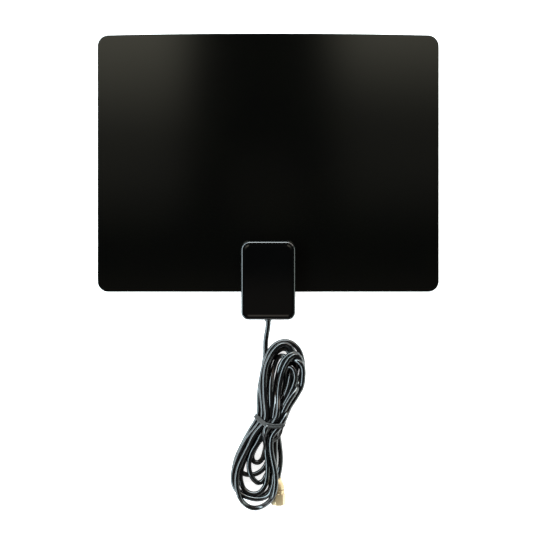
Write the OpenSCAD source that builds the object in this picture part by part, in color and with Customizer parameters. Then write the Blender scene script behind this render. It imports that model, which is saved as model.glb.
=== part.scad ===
// Flat indoor TV antenna with a hanked coaxial lead and an F connector.
// It lies face up. +Z is up, +Y is the panel's upper edge, and the origin is under the
// middle of the panel and housing, on the surface that the antenna lies on.

/* [Panel] */
// Width of the panel
panel_w = 305; // [240:1:400]
// Height of the panel
panel_h = 230; // [180:1:300]
// Radius of the panel's corners
panel_corner_r = 9.5; // [3:0.5:20]
// Thickness of each of the two black films
film_t = 0.5; // [0.3:0.05:0.8]

/* [Foil elements] */
// Thickness of the aluminium foil
foil_t = 0.1; // [0.05:0.01:0.2]
// Distance from the foil to the panel's edge
foil_margin = 14; // [8:1:30]
// Distance between the two foil elements
foil_gap = 10; // [6:1:12]
// Width of the foil band round each window
foil_band = 26; // [12:1:36]
// Width of the foil tab that runs under the housing
foil_tab_w = 9; // [7:0.5:10]
// Radius of the foil's corners
foil_corner_r = 5; // [2:0.5:8]

/* [Housing] */
// Width of the housing
case_w = 48.5; // [47:0.5:60]
// Height of the housing
case_h = 71.2; // [70:0.2:90]
// Thickness of the housing, from its back to its flat top
case_t = 12; // [11.8:0.1:14]
// How far the housing reaches past the panel's lower edge
case_overhang = 24.8; // [24:0.2:28]
// Corner radius at the housing's upper end
case_top_r = 8; // [6:0.5:10]
// Corner radius at the housing's lower end
case_bottom_r = 6.8; // [6:0.2:10]
// Wall of the front case
wall_t = 1.8; // [1.5:0.1:2]
// Rounding between the front case's side and its top
case_edge_r = 2; // [1:0.1:2.2]
// Width of the shallow bevel between the rounding and the flat top
bevel_w = 2.6; // [1:0.1:3]
// Rise of the shallow bevel
bevel_rise = 0.4; // [0.2:0.05:0.6]
// How far the front case's sides lean in
side_draft = 0.2; // [0.1:0.05:0.4]
// How far the front case's upper end leans in
end_draft = 1.3; // [0.5:0.1:2]

/* [Rear cover] */
// Thickness of the rear cover's plate
cover_t = 2; // [1.8:0.1:2.2]
// Rounding on the rear cover's back edge
cover_edge = 0.8; // [0.4:0.1:1]
// Thickness of the rear cover's locating lip
lip_t = 1.2; // [0.8:0.1:1.5]
// Height of the locating lip
lip_h = 2; // [1:0.1:3]
// Distance from the housing's side to each cover screw
screw_side_inset = 6.75; // [6.2:0.05:7.2]
// Distance from the housing's upper end to its upper screws
upper_screw_inset = 8.4; // [8:0.1:9]
// Distance from the housing's lower end to its lower screws
lower_screw_inset = 8.8; // [8.5:0.1:9.5]

/* [Screws] */
// Diameter of the cover screws' shank
screw_d = 2.4; // [2:0.1:2.6]
// Diameter of the cover screws' head
screw_head_d = 4.8; // [4:0.1:5]
// Height of the cover screws' head
screw_head_h = 1; // [0.8:0.1:1.1]
// Length of the cover screws' shank
screw_l = 7.4; // [6:0.1:7.6]
// Diameter of the clamp screws' shank
clamp_screw_d = 1.8; // [1.6:0.1:2]
// Diameter of the clamp screws' head
clamp_head_d = 3.4; // [3:0.1:3.6]
// Height of the clamp screws' head
clamp_head_h = 0.8; // [0.6:0.1:0.9]
// Length of the clamp screws' shank
clamp_screw_l = 5.4; // [4.5:0.1:5.8]

/* [Circuit board] */
// Width of the balun board
board_w = 33; // [30:1:36]
// Distance from the cable clamp to the balun board
board_clear = 10.8; // [9:0.1:13]
// Thickness of the balun board
board_t = 1.2; // [0.8:0.1:1.6]
// Distance between the two feed rivets
rivet_pitch = 19; // [17:0.5:20]
// Outer diameter of a feed rivet's shank
rivet_d = 3; // [2.4:0.1:3.4]
// Diameter of a feed rivet's flanges
rivet_flange_d = 5; // [4.4:0.1:5.6]
// Thickness of a feed rivet's flanges
rivet_flange_t = 0.4; // [0.3:0.05:0.5]
// Width of the ferrite core
core_w = 7; // [6:0.5:8]
// Length of the ferrite core
core_l = 6; // [5:0.5:8]
// Height of the ferrite core
core_h = 4; // [3.2:0.1:4.4]
// Diameter of the winding's wire
wire_d = 0.5; // [0.3:0.05:0.5]

/* [Lead] */
// Diameter of the lead
lead_d = 4.5; // [4:0.1:4.6]
// Diameter over the lead's braid
braid_d = 3.4; // [3.2:0.1:3.5]
// Diameter of the lead's dielectric
dielectric_d = 2.9; // [2.6:0.1:3]
// Diameter of the lead's centre conductor
conductor_d = 0.5; // [0.4:0.05:0.6]
// Diameter of the grommet where it fills the wall
grommet_neck_d = 6.4; // [6:0.1:6.6]
// Diameter of the grommet's flange inside the wall
grommet_flange_d = 7.7; // [7.2:0.1:7.8]
// Height of the tallest stretches of the hank
hank_h = 17; // [15:0.5:20]
// Width of the wire tie
tie_w = 4; // [3:0.1:5]
// Thickness of the wire tie
tie_t = 0.7; // [0.5:0.1:0.9]

/* [F connector] */
// Length of the connector, from its rear end to the nut's mouth
connector_l = 24; // [22:0.5:28]
// Diameter of the connector body behind the nut
body_d = 10.8; // [10:0.1:11.4]
// Length of the connector body behind the nut
body_l = 10; // [9:0.2:11]
// Width of the coupling nut across its flats
nut_af = 11; // [10.8:0.1:11.2]
// Bore of the nut that takes a 3/8 inch thread
nut_bore_d = 8.8; // [8.6:0.05:9]
// Diameter of the centre pin
pin_d = 1; // [0.8:0.05:1.1]

/* [Hidden] */
$fn = 64;

// Small clearances and the overrun of every cut
cut_over = 1;
slide_gap = 0.2;
seat_gap = 0.3;
slice_t = 0.01;

// Levels from the surface up
panel_back_z = cover_t;
foil_z = panel_back_z + film_t - foil_t;
film_joint_z = panel_back_z + film_t;
panel_front_z = film_joint_z + film_t;
board_top_z = panel_front_z + board_t;
ceiling_z = case_t - wall_t;
edge_centre_z = case_t - bevel_rise - case_edge_r;
lead_r = lead_d / 2;
lead_z = panel_front_z + board_t + braid_d / 2 + 0.2 * wire_d;

// Places along the panel's height
panel_top_y = (panel_h + case_overhang) / 2;
panel_bottom_y = panel_top_y - panel_h;
panel_mid_y = (panel_top_y + panel_bottom_y) / 2;
case_bottom_y = panel_bottom_y - case_overhang;
case_top_y = case_bottom_y + case_h;
case_mid_y = (case_bottom_y + case_top_y) / 2;
screw_x = case_w / 2 - screw_side_inset;
upper_screw_y = case_top_y - upper_screw_inset;
lower_screw_y = case_bottom_y + lower_screw_inset;

// Screw holes, posts and recesses
screw_hole_d = screw_d + 2 * slide_gap;
screw_recess_d = screw_head_d + 2 * slide_gap;
screw_recess_h = screw_head_h + slide_gap / 2;
screw_places = [
    [-screw_x, upper_screw_y],
    [screw_x, upper_screw_y],
    [-screw_x, lower_screw_y],
    [screw_x, lower_screw_y],
];
post_d = 2.4 * screw_d;
screw_slot_share = 0.16;
screw_slot_depth_share = 0.6;
cover_edge_share = 0.3;

// Cable clamp and saddle
clamp_inset = 15;
clamp_y = case_bottom_y + clamp_inset;
clamp_w = 5;
clamp_floor_t = 0.6;
clamp_half_l = 9.5;
clamp_screw_x = 6.6;
clamp_bottom_z = lead_z - lead_r - clamp_floor_t;
clamp_top_z = lead_z - seat_gap;
clamp_post_d = 2.4 * clamp_screw_d;
saddle_half_w = lead_r + wall_t;

// Foil windows, board and rivets
foil_top_y = panel_top_y - foil_margin;
foil_bottom_y = case_top_y + foil_margin / 2;
foil_outer_x = panel_w / 2 - foil_margin;
foil_inner_x = foil_gap / 2;
rivet_x = rivet_pitch / 2;
board_top_y = upper_screw_y - post_d / 2 - 3 * slide_gap;
board_bottom_y = clamp_y + clamp_w / 2 + board_clear;
board_h = board_top_y - board_bottom_y;
rivet_y = board_bottom_y + board_h * 0.32;
foil_tab_end_y = rivet_y - foil_tab_w / 2;
rivet_bore_d = rivet_d - 2 * rivet_flange_t;
rivet_pocket_d = rivet_flange_d + 4 * slide_gap;
rivet_pocket_h = rivet_flange_t + slide_gap;

// The lead's stripped end and its solder
jacket_end_y = board_bottom_y - dielectric_d;
braid_end_y = board_bottom_y + dielectric_d / 2;
dielectric_end_y = braid_end_y + dielectric_d;
conductor_foot_y = dielectric_end_y + dielectric_d;
solder_h = braid_d / 4;
solder_spread = 1.6;

// Parts on the board
core_y = (conductor_foot_y + board_top_y) / 2;
core_hole_d = 3.8 * wire_d;
core_hole_x = core_w * 0.25;
core_mid_z = board_top_z + core_h / 2;
turn_pitch = 1.1 * wire_d;
winding_reach = core_l / 2 + solder_spread * wire_d + seat_gap;
chip_l = 2;
chip_w = 1.2;
chip_h = 0.9;
chip_cap_l = 0.4;
chip_x = board_w * 0.3;
chip_y = board_bottom_y + board_h * 0.7;

// Grommet
grommet_flange_t = 1.4;
grommet_nose_l = 1.6;
grommet_nose_wall = 0.4;
grommet_nose_d = lead_d + 2 * grommet_nose_wall;

// The lead from the housing to the hank, and from the hank to the connector
lead_sides = 10;
lobe_sides = 48;
lead_points = [
    [0, -128.6, 6], [0, -131, 6], [-0.4, -135, 5.6], [-1.1, -139, 4.8], [-1.8, -143, 3.8],
    [-2.3, -147, 2.9], [-2.4, -151, 2.4], [-2.4, -155, 2.3], [-2.7, -160, 2.3], [-3.4, -165, 2.3],
];
tail_points = [
    [8.6, -221, 2.4], [8.6, -225, 2.4], [8.8, -229, 2.4], [9.3, -233, 2.4], [9.9, -237.5, 2.5],
    [10.7, -244, 3], [11.1, -250, 4], [10.9, -256, 5.1], [10.4, -260, 5.8], [9.7, -263.5, 6.2],
    [9.1, -266, 6.4], [8.9, -268, 6.4],
];

// Hank: circles, each as [x, y, radius], whose hull is a lobe
upper_lobe = [
    [16.5, -162.5, 17.5], [19, -173, 14.5], [1.5, -168, 7.5], [-2, -188, 8], [4, -208, 10],
];
lower_lobe = [[-3, -224, 9], [-15, -243, 11.5], [-12, -276, 21.2]];
waist_left = -12.4;
waist_right = 15.9;
waist_top_y = -209;
waist_bottom_y = -221;
waist_h = 12;
tie_y = -217;

// Connector frame: rear end, turn about Z, and stations along the axis from the rear end
connector_base = [8.9, -268, 6.4];
connector_turn = 0;
nut_tip_d = nut_af / cos(30);
nut_turn = 10;
nut_clear = 1;
bay_half_w = nut_tip_d / 2 + nut_clear;
tail_bay_l = 14;
tail_bay_half_w = lead_r + nut_clear;
groove_l = 0.6;
groove_depth = 0.9;
groove_d = body_d - 2 * groove_depth;
neck_wall = 0.45;
neck_d = nut_bore_d - 2 * neck_wall;
collar_l = 3;
flange_l = 1.2;
nut_start = body_l + groove_l;
flange_start = nut_start + collar_l + slide_gap;
face_station = flange_start + flange_l;
nut_chamfer = 0.7;
nut_chamfer_l = 0.4;
nut_face_r = nut_tip_d / 2 - nut_chamfer;
nut_ring_l = 2.6;
relief_l = flange_l + 3 * slide_gap;
relief_d = nut_bore_d + 2 * neck_wall;
flange_d = nut_bore_d + seat_gap;
pin_end = connector_l - seat_gap;
body_rear_wall = 0.4;
body_rear_r = lead_r + body_rear_wall;
dome_start = 1.2;
band_l = 0.6;
dome_l = body_l - dome_start - band_l;
lead_depth = 6;
insulator_d = dielectric_d;
connector_dir = [sin(connector_turn), -cos(connector_turn), 0];

// A flat plate outline with round corners, centred
module rounded_plate(w, h, r) {
    square([w - 2 * r, h], center = true);
    square([w, h - 2 * r], center = true);
    for (sx = [-1, 1], sy = [-1, 1])
        translate([sx * (w / 2 - r), sy * (h / 2 - r)])
            circle(r = r);
}

// The housing's outline, drawn in by inset on all sides and by setback at its upper end
module case_outline(inset, setback) {
    half_w = case_w / 2 - inset;
    low_y = case_bottom_y + inset;
    high_y = case_top_y - inset - setback;
    high_r = case_top_r - inset;
    low_r = case_bottom_r - inset;
    translate([-half_w, low_y + low_r])
        square([2 * half_w, high_y - high_r - low_y - low_r]);
    translate([-half_w + high_r, case_mid_y])
        square([2 * (half_w - high_r), high_y - case_mid_y]);
    translate([-half_w + low_r, low_y])
        square([2 * (half_w - low_r), case_mid_y - low_y]);
    for (side = [-1, 1]) {
        translate([side * (half_w - high_r), high_y - high_r])
            circle(r = high_r);
        translate([side * (half_w - low_r), low_y + low_r])
            circle(r = low_r);
    }
}

module case_slice(z, inset, setback) {
    translate([0, 0, z])
        linear_extrude(slice_t)
            case_outline(inset, setback);
}

// The front case's outer form: leaning sides, a rounded edge, a shallow bevel and a flat top
module case_form() {
    bevel_angle = atan(bevel_rise / bevel_w);
    arc_steps = 6;
    arc_end = 90 - bevel_angle;
    hull() {
        case_slice(cover_t, 0, 0);
        for (i = [0:arc_steps]) {
            a = arc_end * i / arc_steps;
            case_slice(edge_centre_z + case_edge_r * sin(a),
                side_draft + case_edge_r * (1 - cos(a)), end_draft);
        }
        case_slice(case_t - slice_t, side_draft + case_edge_r + bevel_w, end_draft);
    }
}

module post_holes(d, z, h, places) {
    for (p = places)
        translate([p[0], p[1], z])
            cylinder(d = d, h = h);
}

// A bar along Y with a round section
module rod_y(d, from_y, to_y, z) {
    translate([0, from_y, z])
        rotate([-90, 0, 0])
            cylinder(d = d, h = to_y - from_y);
}

module front_film() {
    color("#0b0a08")
        difference() {
            translate([0, panel_mid_y, film_joint_z])
                linear_extrude(film_t)
                    rounded_plate(panel_w, panel_h, panel_corner_r);
            panel_holes();
        }
}

module back_film() {
    color("#0d0c0b")
        difference() {
            translate([0, panel_mid_y, panel_back_z])
                linear_extrude(film_t)
                    rounded_plate(panel_w, panel_h, panel_corner_r);
            panel_holes();
            for (side = [0, 1])
                mirror([side, 0, 0])
                    translate([0, 0, foil_z])
                        linear_extrude(foil_t + cut_over)
                            foil_outline();
        }
}

// Holes through the panel for the two upper screws and the feed rivets
module panel_holes() {
    cut_z = panel_back_z - cut_over;
    cut_h = 2 * (film_t + cut_over);
    post_holes(screw_hole_d, cut_z, cut_h, [screw_places[0], screw_places[1]]);
    post_holes(rivet_d, cut_z, cut_h, [[-rivet_x, rivet_y], [rivet_x, rivet_y]]);
}

// One foil element: a wide band round a window, with a tab that runs down to its rivet
module foil_outline() {
    w = foil_outer_x - foil_inner_x;
    h = foil_top_y - foil_bottom_y;
    translate([foil_inner_x + w / 2, foil_bottom_y + h / 2])
        difference() {
            rounded_plate(w, h, foil_corner_r);
            rounded_plate(w - 2 * foil_band, h - 2 * foil_band, foil_corner_r);
        }
    translate([foil_inner_x, foil_tab_end_y])
        square([foil_tab_w, foil_bottom_y + foil_corner_r * 2 - foil_tab_end_y]);
}

module foil_element() {
    difference() {
        translate([0, 0, foil_z])
            linear_extrude(foil_t)
                foil_outline();
        post_holes(rivet_d, foil_z - cut_over, foil_t + 2 * cut_over, [[rivet_x, rivet_y]]);
    }
}

module element_right() {
    color("#b9bcbe")
        foil_element();
}

module element_left() {
    color("#b9bcbe")
        mirror([1, 0, 0])
            foil_element();
}

// Front case: hollow shell, screw posts, cable saddle, slot for the panel and for the grommet
module front_case() {
    color("#060607")
        difference() {
            union() {
                difference() {
                    case_form();
                    translate([0, 0, cover_t - cut_over])
                        linear_extrude(ceiling_z - cover_t + cut_over)
                            case_outline(wall_t, end_draft);
                }
                case_posts();
                cable_saddle();
            }
            panel_slot();
            grommet_slot();
            post_holes(screw_d, cover_t - cut_over, screw_l + cut_over, screw_places);
            post_holes(clamp_screw_d, clamp_bottom_z - cut_over, clamp_screw_l + cut_over,
                [[-clamp_screw_x, clamp_y], [clamp_screw_x, clamp_y]]);
            rod_y(lead_d, clamp_y - clamp_w, clamp_y + clamp_w, lead_z);
        }
}

module case_posts() {
    post_holes(post_d, cover_t, ceiling_z - cover_t + slide_gap, screw_places);
    post_holes(clamp_post_d, lead_z, ceiling_z - lead_z + slide_gap,
        [[-clamp_screw_x, clamp_y], [clamp_screw_x, clamp_y]]);
}

module cable_saddle() {
    translate([-saddle_half_w, clamp_y - clamp_w / 2, lead_z])
        cube([2 * saddle_half_w, clamp_w, ceiling_z - lead_z + slide_gap]);
}

module panel_slot() {
    slot_low_y = panel_bottom_y - seat_gap;
    translate([-case_w / 2 - cut_over, slot_low_y, cover_t - cut_over])
        cube([case_w + 2 * cut_over, case_top_y - slot_low_y + cut_over,
            panel_front_z - cover_t + cut_over]);
}

module grommet_slot() {
    rod_y(grommet_neck_d, case_bottom_y - cut_over, case_bottom_y + wall_t + cut_over, lead_z);
    translate([-grommet_neck_d / 2, case_bottom_y - cut_over, cover_t - cut_over])
        cube([grommet_neck_d, wall_t + 2 * cut_over, lead_z - cover_t + cut_over]);
}

// Rear cover: rounded plate, screw recesses, rivet pockets, locating lip and grommet tab
module rear_cover() {
    color("#0a0a0b")
        difference() {
            union() {
                hull() {
                    case_slice(0, cover_edge, 0);
                    case_slice(cover_edge * cover_edge_share, cover_edge * cover_edge_share, 0);
                    translate([0, 0, cover_edge])
                        linear_extrude(cover_t - cover_edge)
                            case_outline(0, 0);
                }
                cover_lip();
                grommet_tab();
            }
            post_holes(screw_hole_d, -cut_over, cover_t + 2 * cut_over, screw_places);
            post_holes(screw_recess_d, -cut_over, screw_recess_h + cut_over, screw_places);
            post_holes(rivet_pocket_d, cover_t - rivet_pocket_h, rivet_pocket_h + cut_over,
                [[-rivet_x, rivet_y], [rivet_x, rivet_y]]);
            rod_y(grommet_neck_d, case_bottom_y - cut_over, case_bottom_y + 2 * wall_t, lead_z);
        }
}

module cover_lip() {
    lip_inset = wall_t + slide_gap;
    lip_top_y = panel_bottom_y - 2 * seat_gap;
    clear_half_w = grommet_flange_d / 2 + seat_gap;
    difference() {
        translate([0, 0, cover_t - slice_t])
            linear_extrude(lip_h + slice_t)
                difference() {
                    case_outline(lip_inset, end_draft);
                    case_outline(lip_inset + lip_t, end_draft);
                }
        translate([-case_w / 2, lip_top_y, 0])
            cube([case_w, case_h, case_t]);
        translate([-clear_half_w, case_bottom_y, 0])
            cube([2 * clear_half_w, 3 * wall_t + grommet_flange_t, case_t]);
    }
}

module grommet_tab() {
    translate([-grommet_neck_d / 2 + slide_gap / 2, case_bottom_y + side_draft, cover_t - slice_t])
        cube([grommet_neck_d - slide_gap, wall_t - side_draft, lead_z - cover_t]);
}

// A pan head screw that points up, standing on its head at the origin
module pan_screw(shank_d, head_d, head_h, shank_l) {
    tip_l = shank_d / 2;
    slot_w = head_d * screw_slot_share;
    slot_l = head_d * screw_slot_depth_share;
    difference() {
        rotate_extrude()
            polygon([
                [0, 0],
                [head_d * 0.36, 0],
                [head_d * 0.46, head_h * 0.35],
                [head_d / 2, head_h * 0.8],
                [head_d / 2, head_h],
                [shank_d / 2, head_h],
                [shank_d / 2, head_h + shank_l - tip_l],
                [shank_d / 8, head_h + shank_l],
                [0, head_h + shank_l],
            ]);
        for (turn = [0, 90])
            rotate([0, 0, turn])
                translate([-slot_l / 2, -slot_w / 2, -cut_over])
                    cube([slot_l, slot_w, head_h * screw_slot_depth_share + cut_over]);
    }
}

module cover_screws() {
    color("#8f8f92")
        for (p = screw_places)
            translate([p[0], p[1], screw_recess_h - screw_head_h])
                pan_screw(screw_d, screw_head_d, screw_head_h, screw_l);
}

module clamp_screws() {
    color("#8f8f92")
        for (side = [-1, 1])
            translate([side * clamp_screw_x, clamp_y, clamp_bottom_z - clamp_head_h])
                pan_screw(clamp_screw_d, clamp_head_d, clamp_head_h, clamp_screw_l);
}

module cable_clamp() {
    color("#1c1c1e")
        difference() {
            translate([-clamp_half_l, clamp_y - clamp_w / 2, clamp_bottom_z])
                cube([2 * clamp_half_l, clamp_w, clamp_top_z - clamp_bottom_z]);
            rod_y(lead_d, clamp_y - clamp_w, clamp_y + clamp_w, lead_z);
            post_holes(clamp_screw_d + 2 * slide_gap, clamp_bottom_z - cut_over,
                clamp_top_z - clamp_bottom_z + 2 * cut_over,
                [[-clamp_screw_x, clamp_y], [clamp_screw_x, clamp_y]]);
        }
}

// Grommet: flange inside the wall, neck in the wall and a short tapered nose outside
module cable_grommet() {
    bore_r = lead_d / 2;
    neck_l = wall_t - side_draft;
    color("#0d0d0e")
        translate([0, case_bottom_y - grommet_nose_l + side_draft, lead_z])
            rotate([-90, 0, 0])
                rotate_extrude()
                    polygon([
                        [bore_r, 0],
                        [grommet_nose_d / 2, 0],
                        [grommet_neck_d / 2, grommet_nose_l],
                        [grommet_neck_d / 2, grommet_nose_l + neck_l],
                        [grommet_flange_d / 2, grommet_nose_l + neck_l],
                        [grommet_flange_d / 2, grommet_nose_l + neck_l + grommet_flange_t],
                        [bore_r, grommet_nose_l + neck_l + grommet_flange_t],
                    ]);
}

// Tubular rivets that clamp the board, the films and the foil
module feed_rivets() {
    color("#b08d4a")
        for (side = [-1, 1])
            translate([side * rivet_x, rivet_y, panel_back_z - rivet_flange_t])
                difference() {
                    union() {
                        cylinder(d = rivet_flange_d, h = rivet_flange_t);
                        cylinder(d = rivet_d, h = board_top_z - panel_back_z + 2 * rivet_flange_t);
                        translate([0, 0, board_top_z - panel_back_z + rivet_flange_t])
                            cylinder(d = rivet_flange_d, h = rivet_flange_t);
                    }
                    translate([0, 0, -cut_over])
                        cylinder(d = rivet_bore_d, h = case_t);
                }
}

module balun_board() {
    color("#1f6b3a")
        difference() {
            translate([-board_w / 2, board_bottom_y, panel_front_z])
                cube([board_w, board_h, board_t]);
            post_holes(rivet_d, panel_front_z - cut_over, board_t + 2 * cut_over,
                [[-rivet_x, rivet_y], [rivet_x, rivet_y]]);
        }
}

// Ferrite core with two holes side by side
module balun_core() {
    color("#3a3b3d")
        difference() {
            translate([-core_w / 2, core_y - core_l / 2, board_top_z])
                cube([core_w, core_l, core_h]);
            for (side = [-1, 1])
                translate([side * core_hole_x, 0, 0])
                    rod_y(core_hole_d, core_y - core_l / 2 - cut_over,
                        core_y + core_l / 2 + cut_over, core_mid_z);
        }
}

// Flat turns of enamelled wire through both holes, and the two ends down to the board
module balun_winding() {
    color("#9c5a2a")
        for (k = [-1, 0, 1])
            translate([0, core_y, core_mid_z + k * turn_pitch]) {
                for (side = [-1, 1])
                    translate([side * core_hole_x, 0, 0]) {
                        rod_y(wire_d, -winding_reach, winding_reach, 0);
                        for (end = [-1, 1])
                            translate([0, end * winding_reach, 0])
                                sphere(d = wire_d);
                        if (k == -1)
                            translate([0, -winding_reach, board_top_z - core_mid_z + turn_pitch])
                                cylinder(d = wire_d, h = core_mid_z - board_top_z - turn_pitch);
                    }
                for (end = [-1, 1])
                    translate([-core_hole_x, end * winding_reach, 0])
                        rotate([0, 90, 0])
                            cylinder(d = wire_d, h = 2 * core_hole_x);
            }
}

module chip(body_color, cap_color) {
    color(body_color)
        translate([-chip_l / 2, -chip_w / 2, 0])
            cube([chip_l, chip_w, chip_h]);
    color(cap_color)
        for (side = [-1, 1])
            translate([side * (chip_l - chip_cap_l) / 2 - chip_cap_l / 2,
                -chip_w / 2 - slide_gap / 4, 0])
                cube([chip_cap_l, chip_w + slide_gap / 2, chip_h + slide_gap / 4]);
}

module coupling_capacitors() {
    for (side = [-1, 1])
        translate([side * chip_x, chip_y, board_top_z])
            chip("#a08a62", "#c9c9c6");
}

module coax_braid() {
    color("#b9b6ad")
        difference() {
            rod_y(braid_d, jacket_end_y, braid_end_y, lead_z);
            rod_y(dielectric_d, jacket_end_y - cut_over, braid_end_y + cut_over, lead_z);
        }
}

module coax_dielectric() {
    color("#f0efe9")
        difference() {
            rod_y(dielectric_d, jacket_end_y, dielectric_end_y, lead_z);
            rod_y(conductor_d, jacket_end_y - cut_over, dielectric_end_y + cut_over, lead_z);
        }
}

module coax_conductor() {
    color("#c07a45") {
        rod_y(conductor_d, jacket_end_y, conductor_foot_y, lead_z);
        translate([0, conductor_foot_y, lead_z])
            sphere(d = conductor_d);
        translate([0, conductor_foot_y, board_top_z])
            cylinder(d = conductor_d, h = lead_z - board_top_z);
    }
}

// Solder: a cradle under the braid, and cones at the conductor's and the winding's feet
module solder_joints() {
    color("#bfc1c2") {
        difference() {
            translate([-braid_d / 2, board_bottom_y, board_top_z])
                cube([braid_d, braid_end_y - board_bottom_y, solder_h]);
            rod_y(braid_d, jacket_end_y, braid_end_y + cut_over, lead_z);
        }
        solder_cone([0, conductor_foot_y], conductor_d);
        for (side = [-1, 1])
            solder_cone([side * core_hole_x, core_y - winding_reach], wire_d);
    }
}

module solder_cone(place, hole_d) {
    foot_r = solder_spread * hole_d;
    translate([place[0], place[1], board_top_z])
        difference() {
            cylinder(r1 = foot_r, r2 = hole_d * 0.6, h = foot_r);
            translate([0, 0, -cut_over])
                cylinder(d = hole_d, h = foot_r + 2 * cut_over);
        }
}

// A tube swept along a route: a ring of points square to the route at each of its points
function unit(v) = v / norm(v);
function route_dir(p, i) = unit(p[min(i + 1, len(p) - 1)] - p[max(i - 1, 0)]);
function side_dir(d) = unit(cross(d, [0, 0, 1]));
function ring_point(p, i, r, n, j) =
    let (d = route_dir(p, i), s = side_dir(d), u = cross(s, d), a = 360 * j / n)
        p[i] + r * (cos(a) * s + sin(a) * u);

module tube(p, r, n) {
    count = len(p);
    rings = [for (i = [0:count - 1], j = [0:n - 1]) ring_point(p, i, r, n, j)];
    walls = [for (i = [0:count - 2], j = [0:n - 1])
        [i * n + j, i * n + (j + 1) % n, (i + 1) * n + (j + 1) % n, (i + 1) * n + j]];
    start_cap = [for (j = [0:n - 1]) n - 1 - j];
    end_cap = [for (j = [0:n - 1]) (count - 1) * n + j];
    polyhedron(points = rings, faces = concat(walls, [start_cap, end_cap]), convexity = 10);
}

// The route starts inside the housing, where the jacket ends, and runs straight out
module coax_lead() {
    inner_points = [
        [0, jacket_end_y, lead_z],
        [0, clamp_y, lead_z],
        [0, case_bottom_y + wall_t, lead_z],
    ];
    color("#101012")
        tube(concat(inner_points, lead_points), lead_r, lead_sides);
}

module lead_tail() {
    color("#101012")
        tube(concat(tail_points, [connector_base + lead_depth * connector_dir]),
            lead_r, lead_sides);
}

module lobe(circles, h) {
    linear_extrude(h)
        hull()
            for (c = circles)
                translate([c[0], c[1]])
                    circle(r = c[2], $fn = lobe_sides);
}

// The hank as one closed solid: two lobes, a waist under the tie, and a bay for the connector
module lead_hank() {
    tie_low_y = tie_y - tie_w / 2 - slide_gap;
    color("#101012")
        difference() {
            union() {
                lobe(upper_lobe, hank_h);
                lobe(lower_lobe, hank_h);
                translate([waist_left, waist_bottom_y, 0])
                    cube([waist_right - waist_left, waist_top_y - waist_bottom_y, waist_h]);
            }
            difference() {
                translate([waist_left - hank_h, tie_low_y, -cut_over])
                    cube([waist_right - waist_left + 2 * hank_h, tie_w + 2 * slide_gap,
                        hank_h + 2 * cut_over]);
                translate([waist_left + tie_t, tie_low_y - cut_over, 2 * tie_t])
                    cube([waist_right - waist_left - 2 * tie_t, tie_w + 2 * slide_gap + 2 * cut_over,
                        waist_h - 4 * tie_t]);
            }
            connector_place()
                connector_bay();
        }
}

// Room for the connector, and for the lead's bend into it
module connector_bay() {
    translate([-bay_half_w, -hank_h, -nut_clear])
        cube([2 * bay_half_w, 2 * hank_h, connector_l + 3 * nut_clear]);
    translate([-tail_bay_half_w, -hank_h, -tail_bay_l])
        cube([2 * tail_bay_half_w + bay_half_w, 2 * hank_h, tail_bay_l]);
}

// Wire tie: a flat band round the waist, with the ridge of its wire along the middle
module wire_tie() {
    band_w = waist_right - waist_left;
    band_h = waist_h - 2 * tie_t;
    color("#151516") {
        translate([(waist_left + waist_right) / 2, tie_y + tie_w / 2, band_h / 2 + tie_t])
            rotate([90, 0, 0])
                linear_extrude(tie_w)
                    tie_ring(band_w, band_h, tie_t);
        translate([(waist_left + waist_right) / 2, tie_y + tie_t / 2, band_h / 2 + tie_t])
            rotate([90, 0, 0])
                linear_extrude(tie_t)
                    tie_ring(band_w + tie_t, band_h + tie_t, tie_t * 1.5);
    }
}

module tie_ring(w, h, t) {
    difference() {
        square([w, h], center = true);
        square([w - 2 * t, h - 2 * t], center = true);
    }
}

// The connector's own frame: its axis is local Z, from its rear end to the nut's mouth
module connector_place() {
    translate(connector_base)
        rotate([0, 0, connector_turn])
            rotate([90, 0, 0])
                children();
}

// Body: domed sleeve over the lead, groove, neck that the nut turns on, and the flange in front
module connector_body() {
    dome_steps = 8;
    front_bore_r = insulator_d / 2;
    color("#cfc2a0")
        connector_place()
            rotate_extrude()
                polygon(concat(
                    [[lead_r, 0], [body_rear_r, 0]],
                    [for (i = [0:dome_steps])
                        [body_rear_r + (body_d / 2 - body_rear_r) * sin(90 * i / dome_steps),
                            dome_start + dome_l * i / dome_steps]],
                    [
                        [body_d / 2, body_l],
                        [groove_d / 2, body_l],
                        [groove_d / 2, body_l + groove_l - slide_gap],
                        [neck_d / 2, body_l + groove_l - slide_gap],
                        [neck_d / 2, flange_start],
                        [flange_d / 2, flange_start],
                        [flange_d / 2, face_station],
                        [front_bore_r, face_station],
                        [front_bore_r, lead_depth],
                        [lead_r, lead_depth],
                    ]));
}

// Nut: a round ring at the rear, a hexagon with chamfered ends, and a stepped bore
module coupling_nut() {
    color("#d3c7a8")
        connector_place()
            difference() {
                intersection() {
                    translate([0, 0, nut_start])
                        rotate([0, 0, nut_turn])
                            cylinder(d = nut_tip_d, h = connector_l - nut_start, $fn = 6);
                    rotate_extrude()
                        polygon([
                            [0, nut_start],
                            [nut_face_r, nut_start],
                            [nut_face_r + 2 * nut_chamfer, nut_start + 2 * nut_chamfer_l],
                            [nut_face_r + 2 * nut_chamfer, connector_l - 2 * nut_chamfer_l],
                            [nut_face_r, connector_l],
                            [0, connector_l],
                        ]);
                }
                translate([0, 0, nut_start - cut_over])
                    cylinder(d = neck_d + 2 * slide_gap, h = connector_l);
                translate([0, 0, nut_start + collar_l])
                    cylinder(d = relief_d, h = relief_l);
                translate([0, 0, nut_start + collar_l + relief_l - slice_t])
                    cylinder(d = nut_bore_d, h = connector_l);
                nut_grooves();
            }
}

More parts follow.
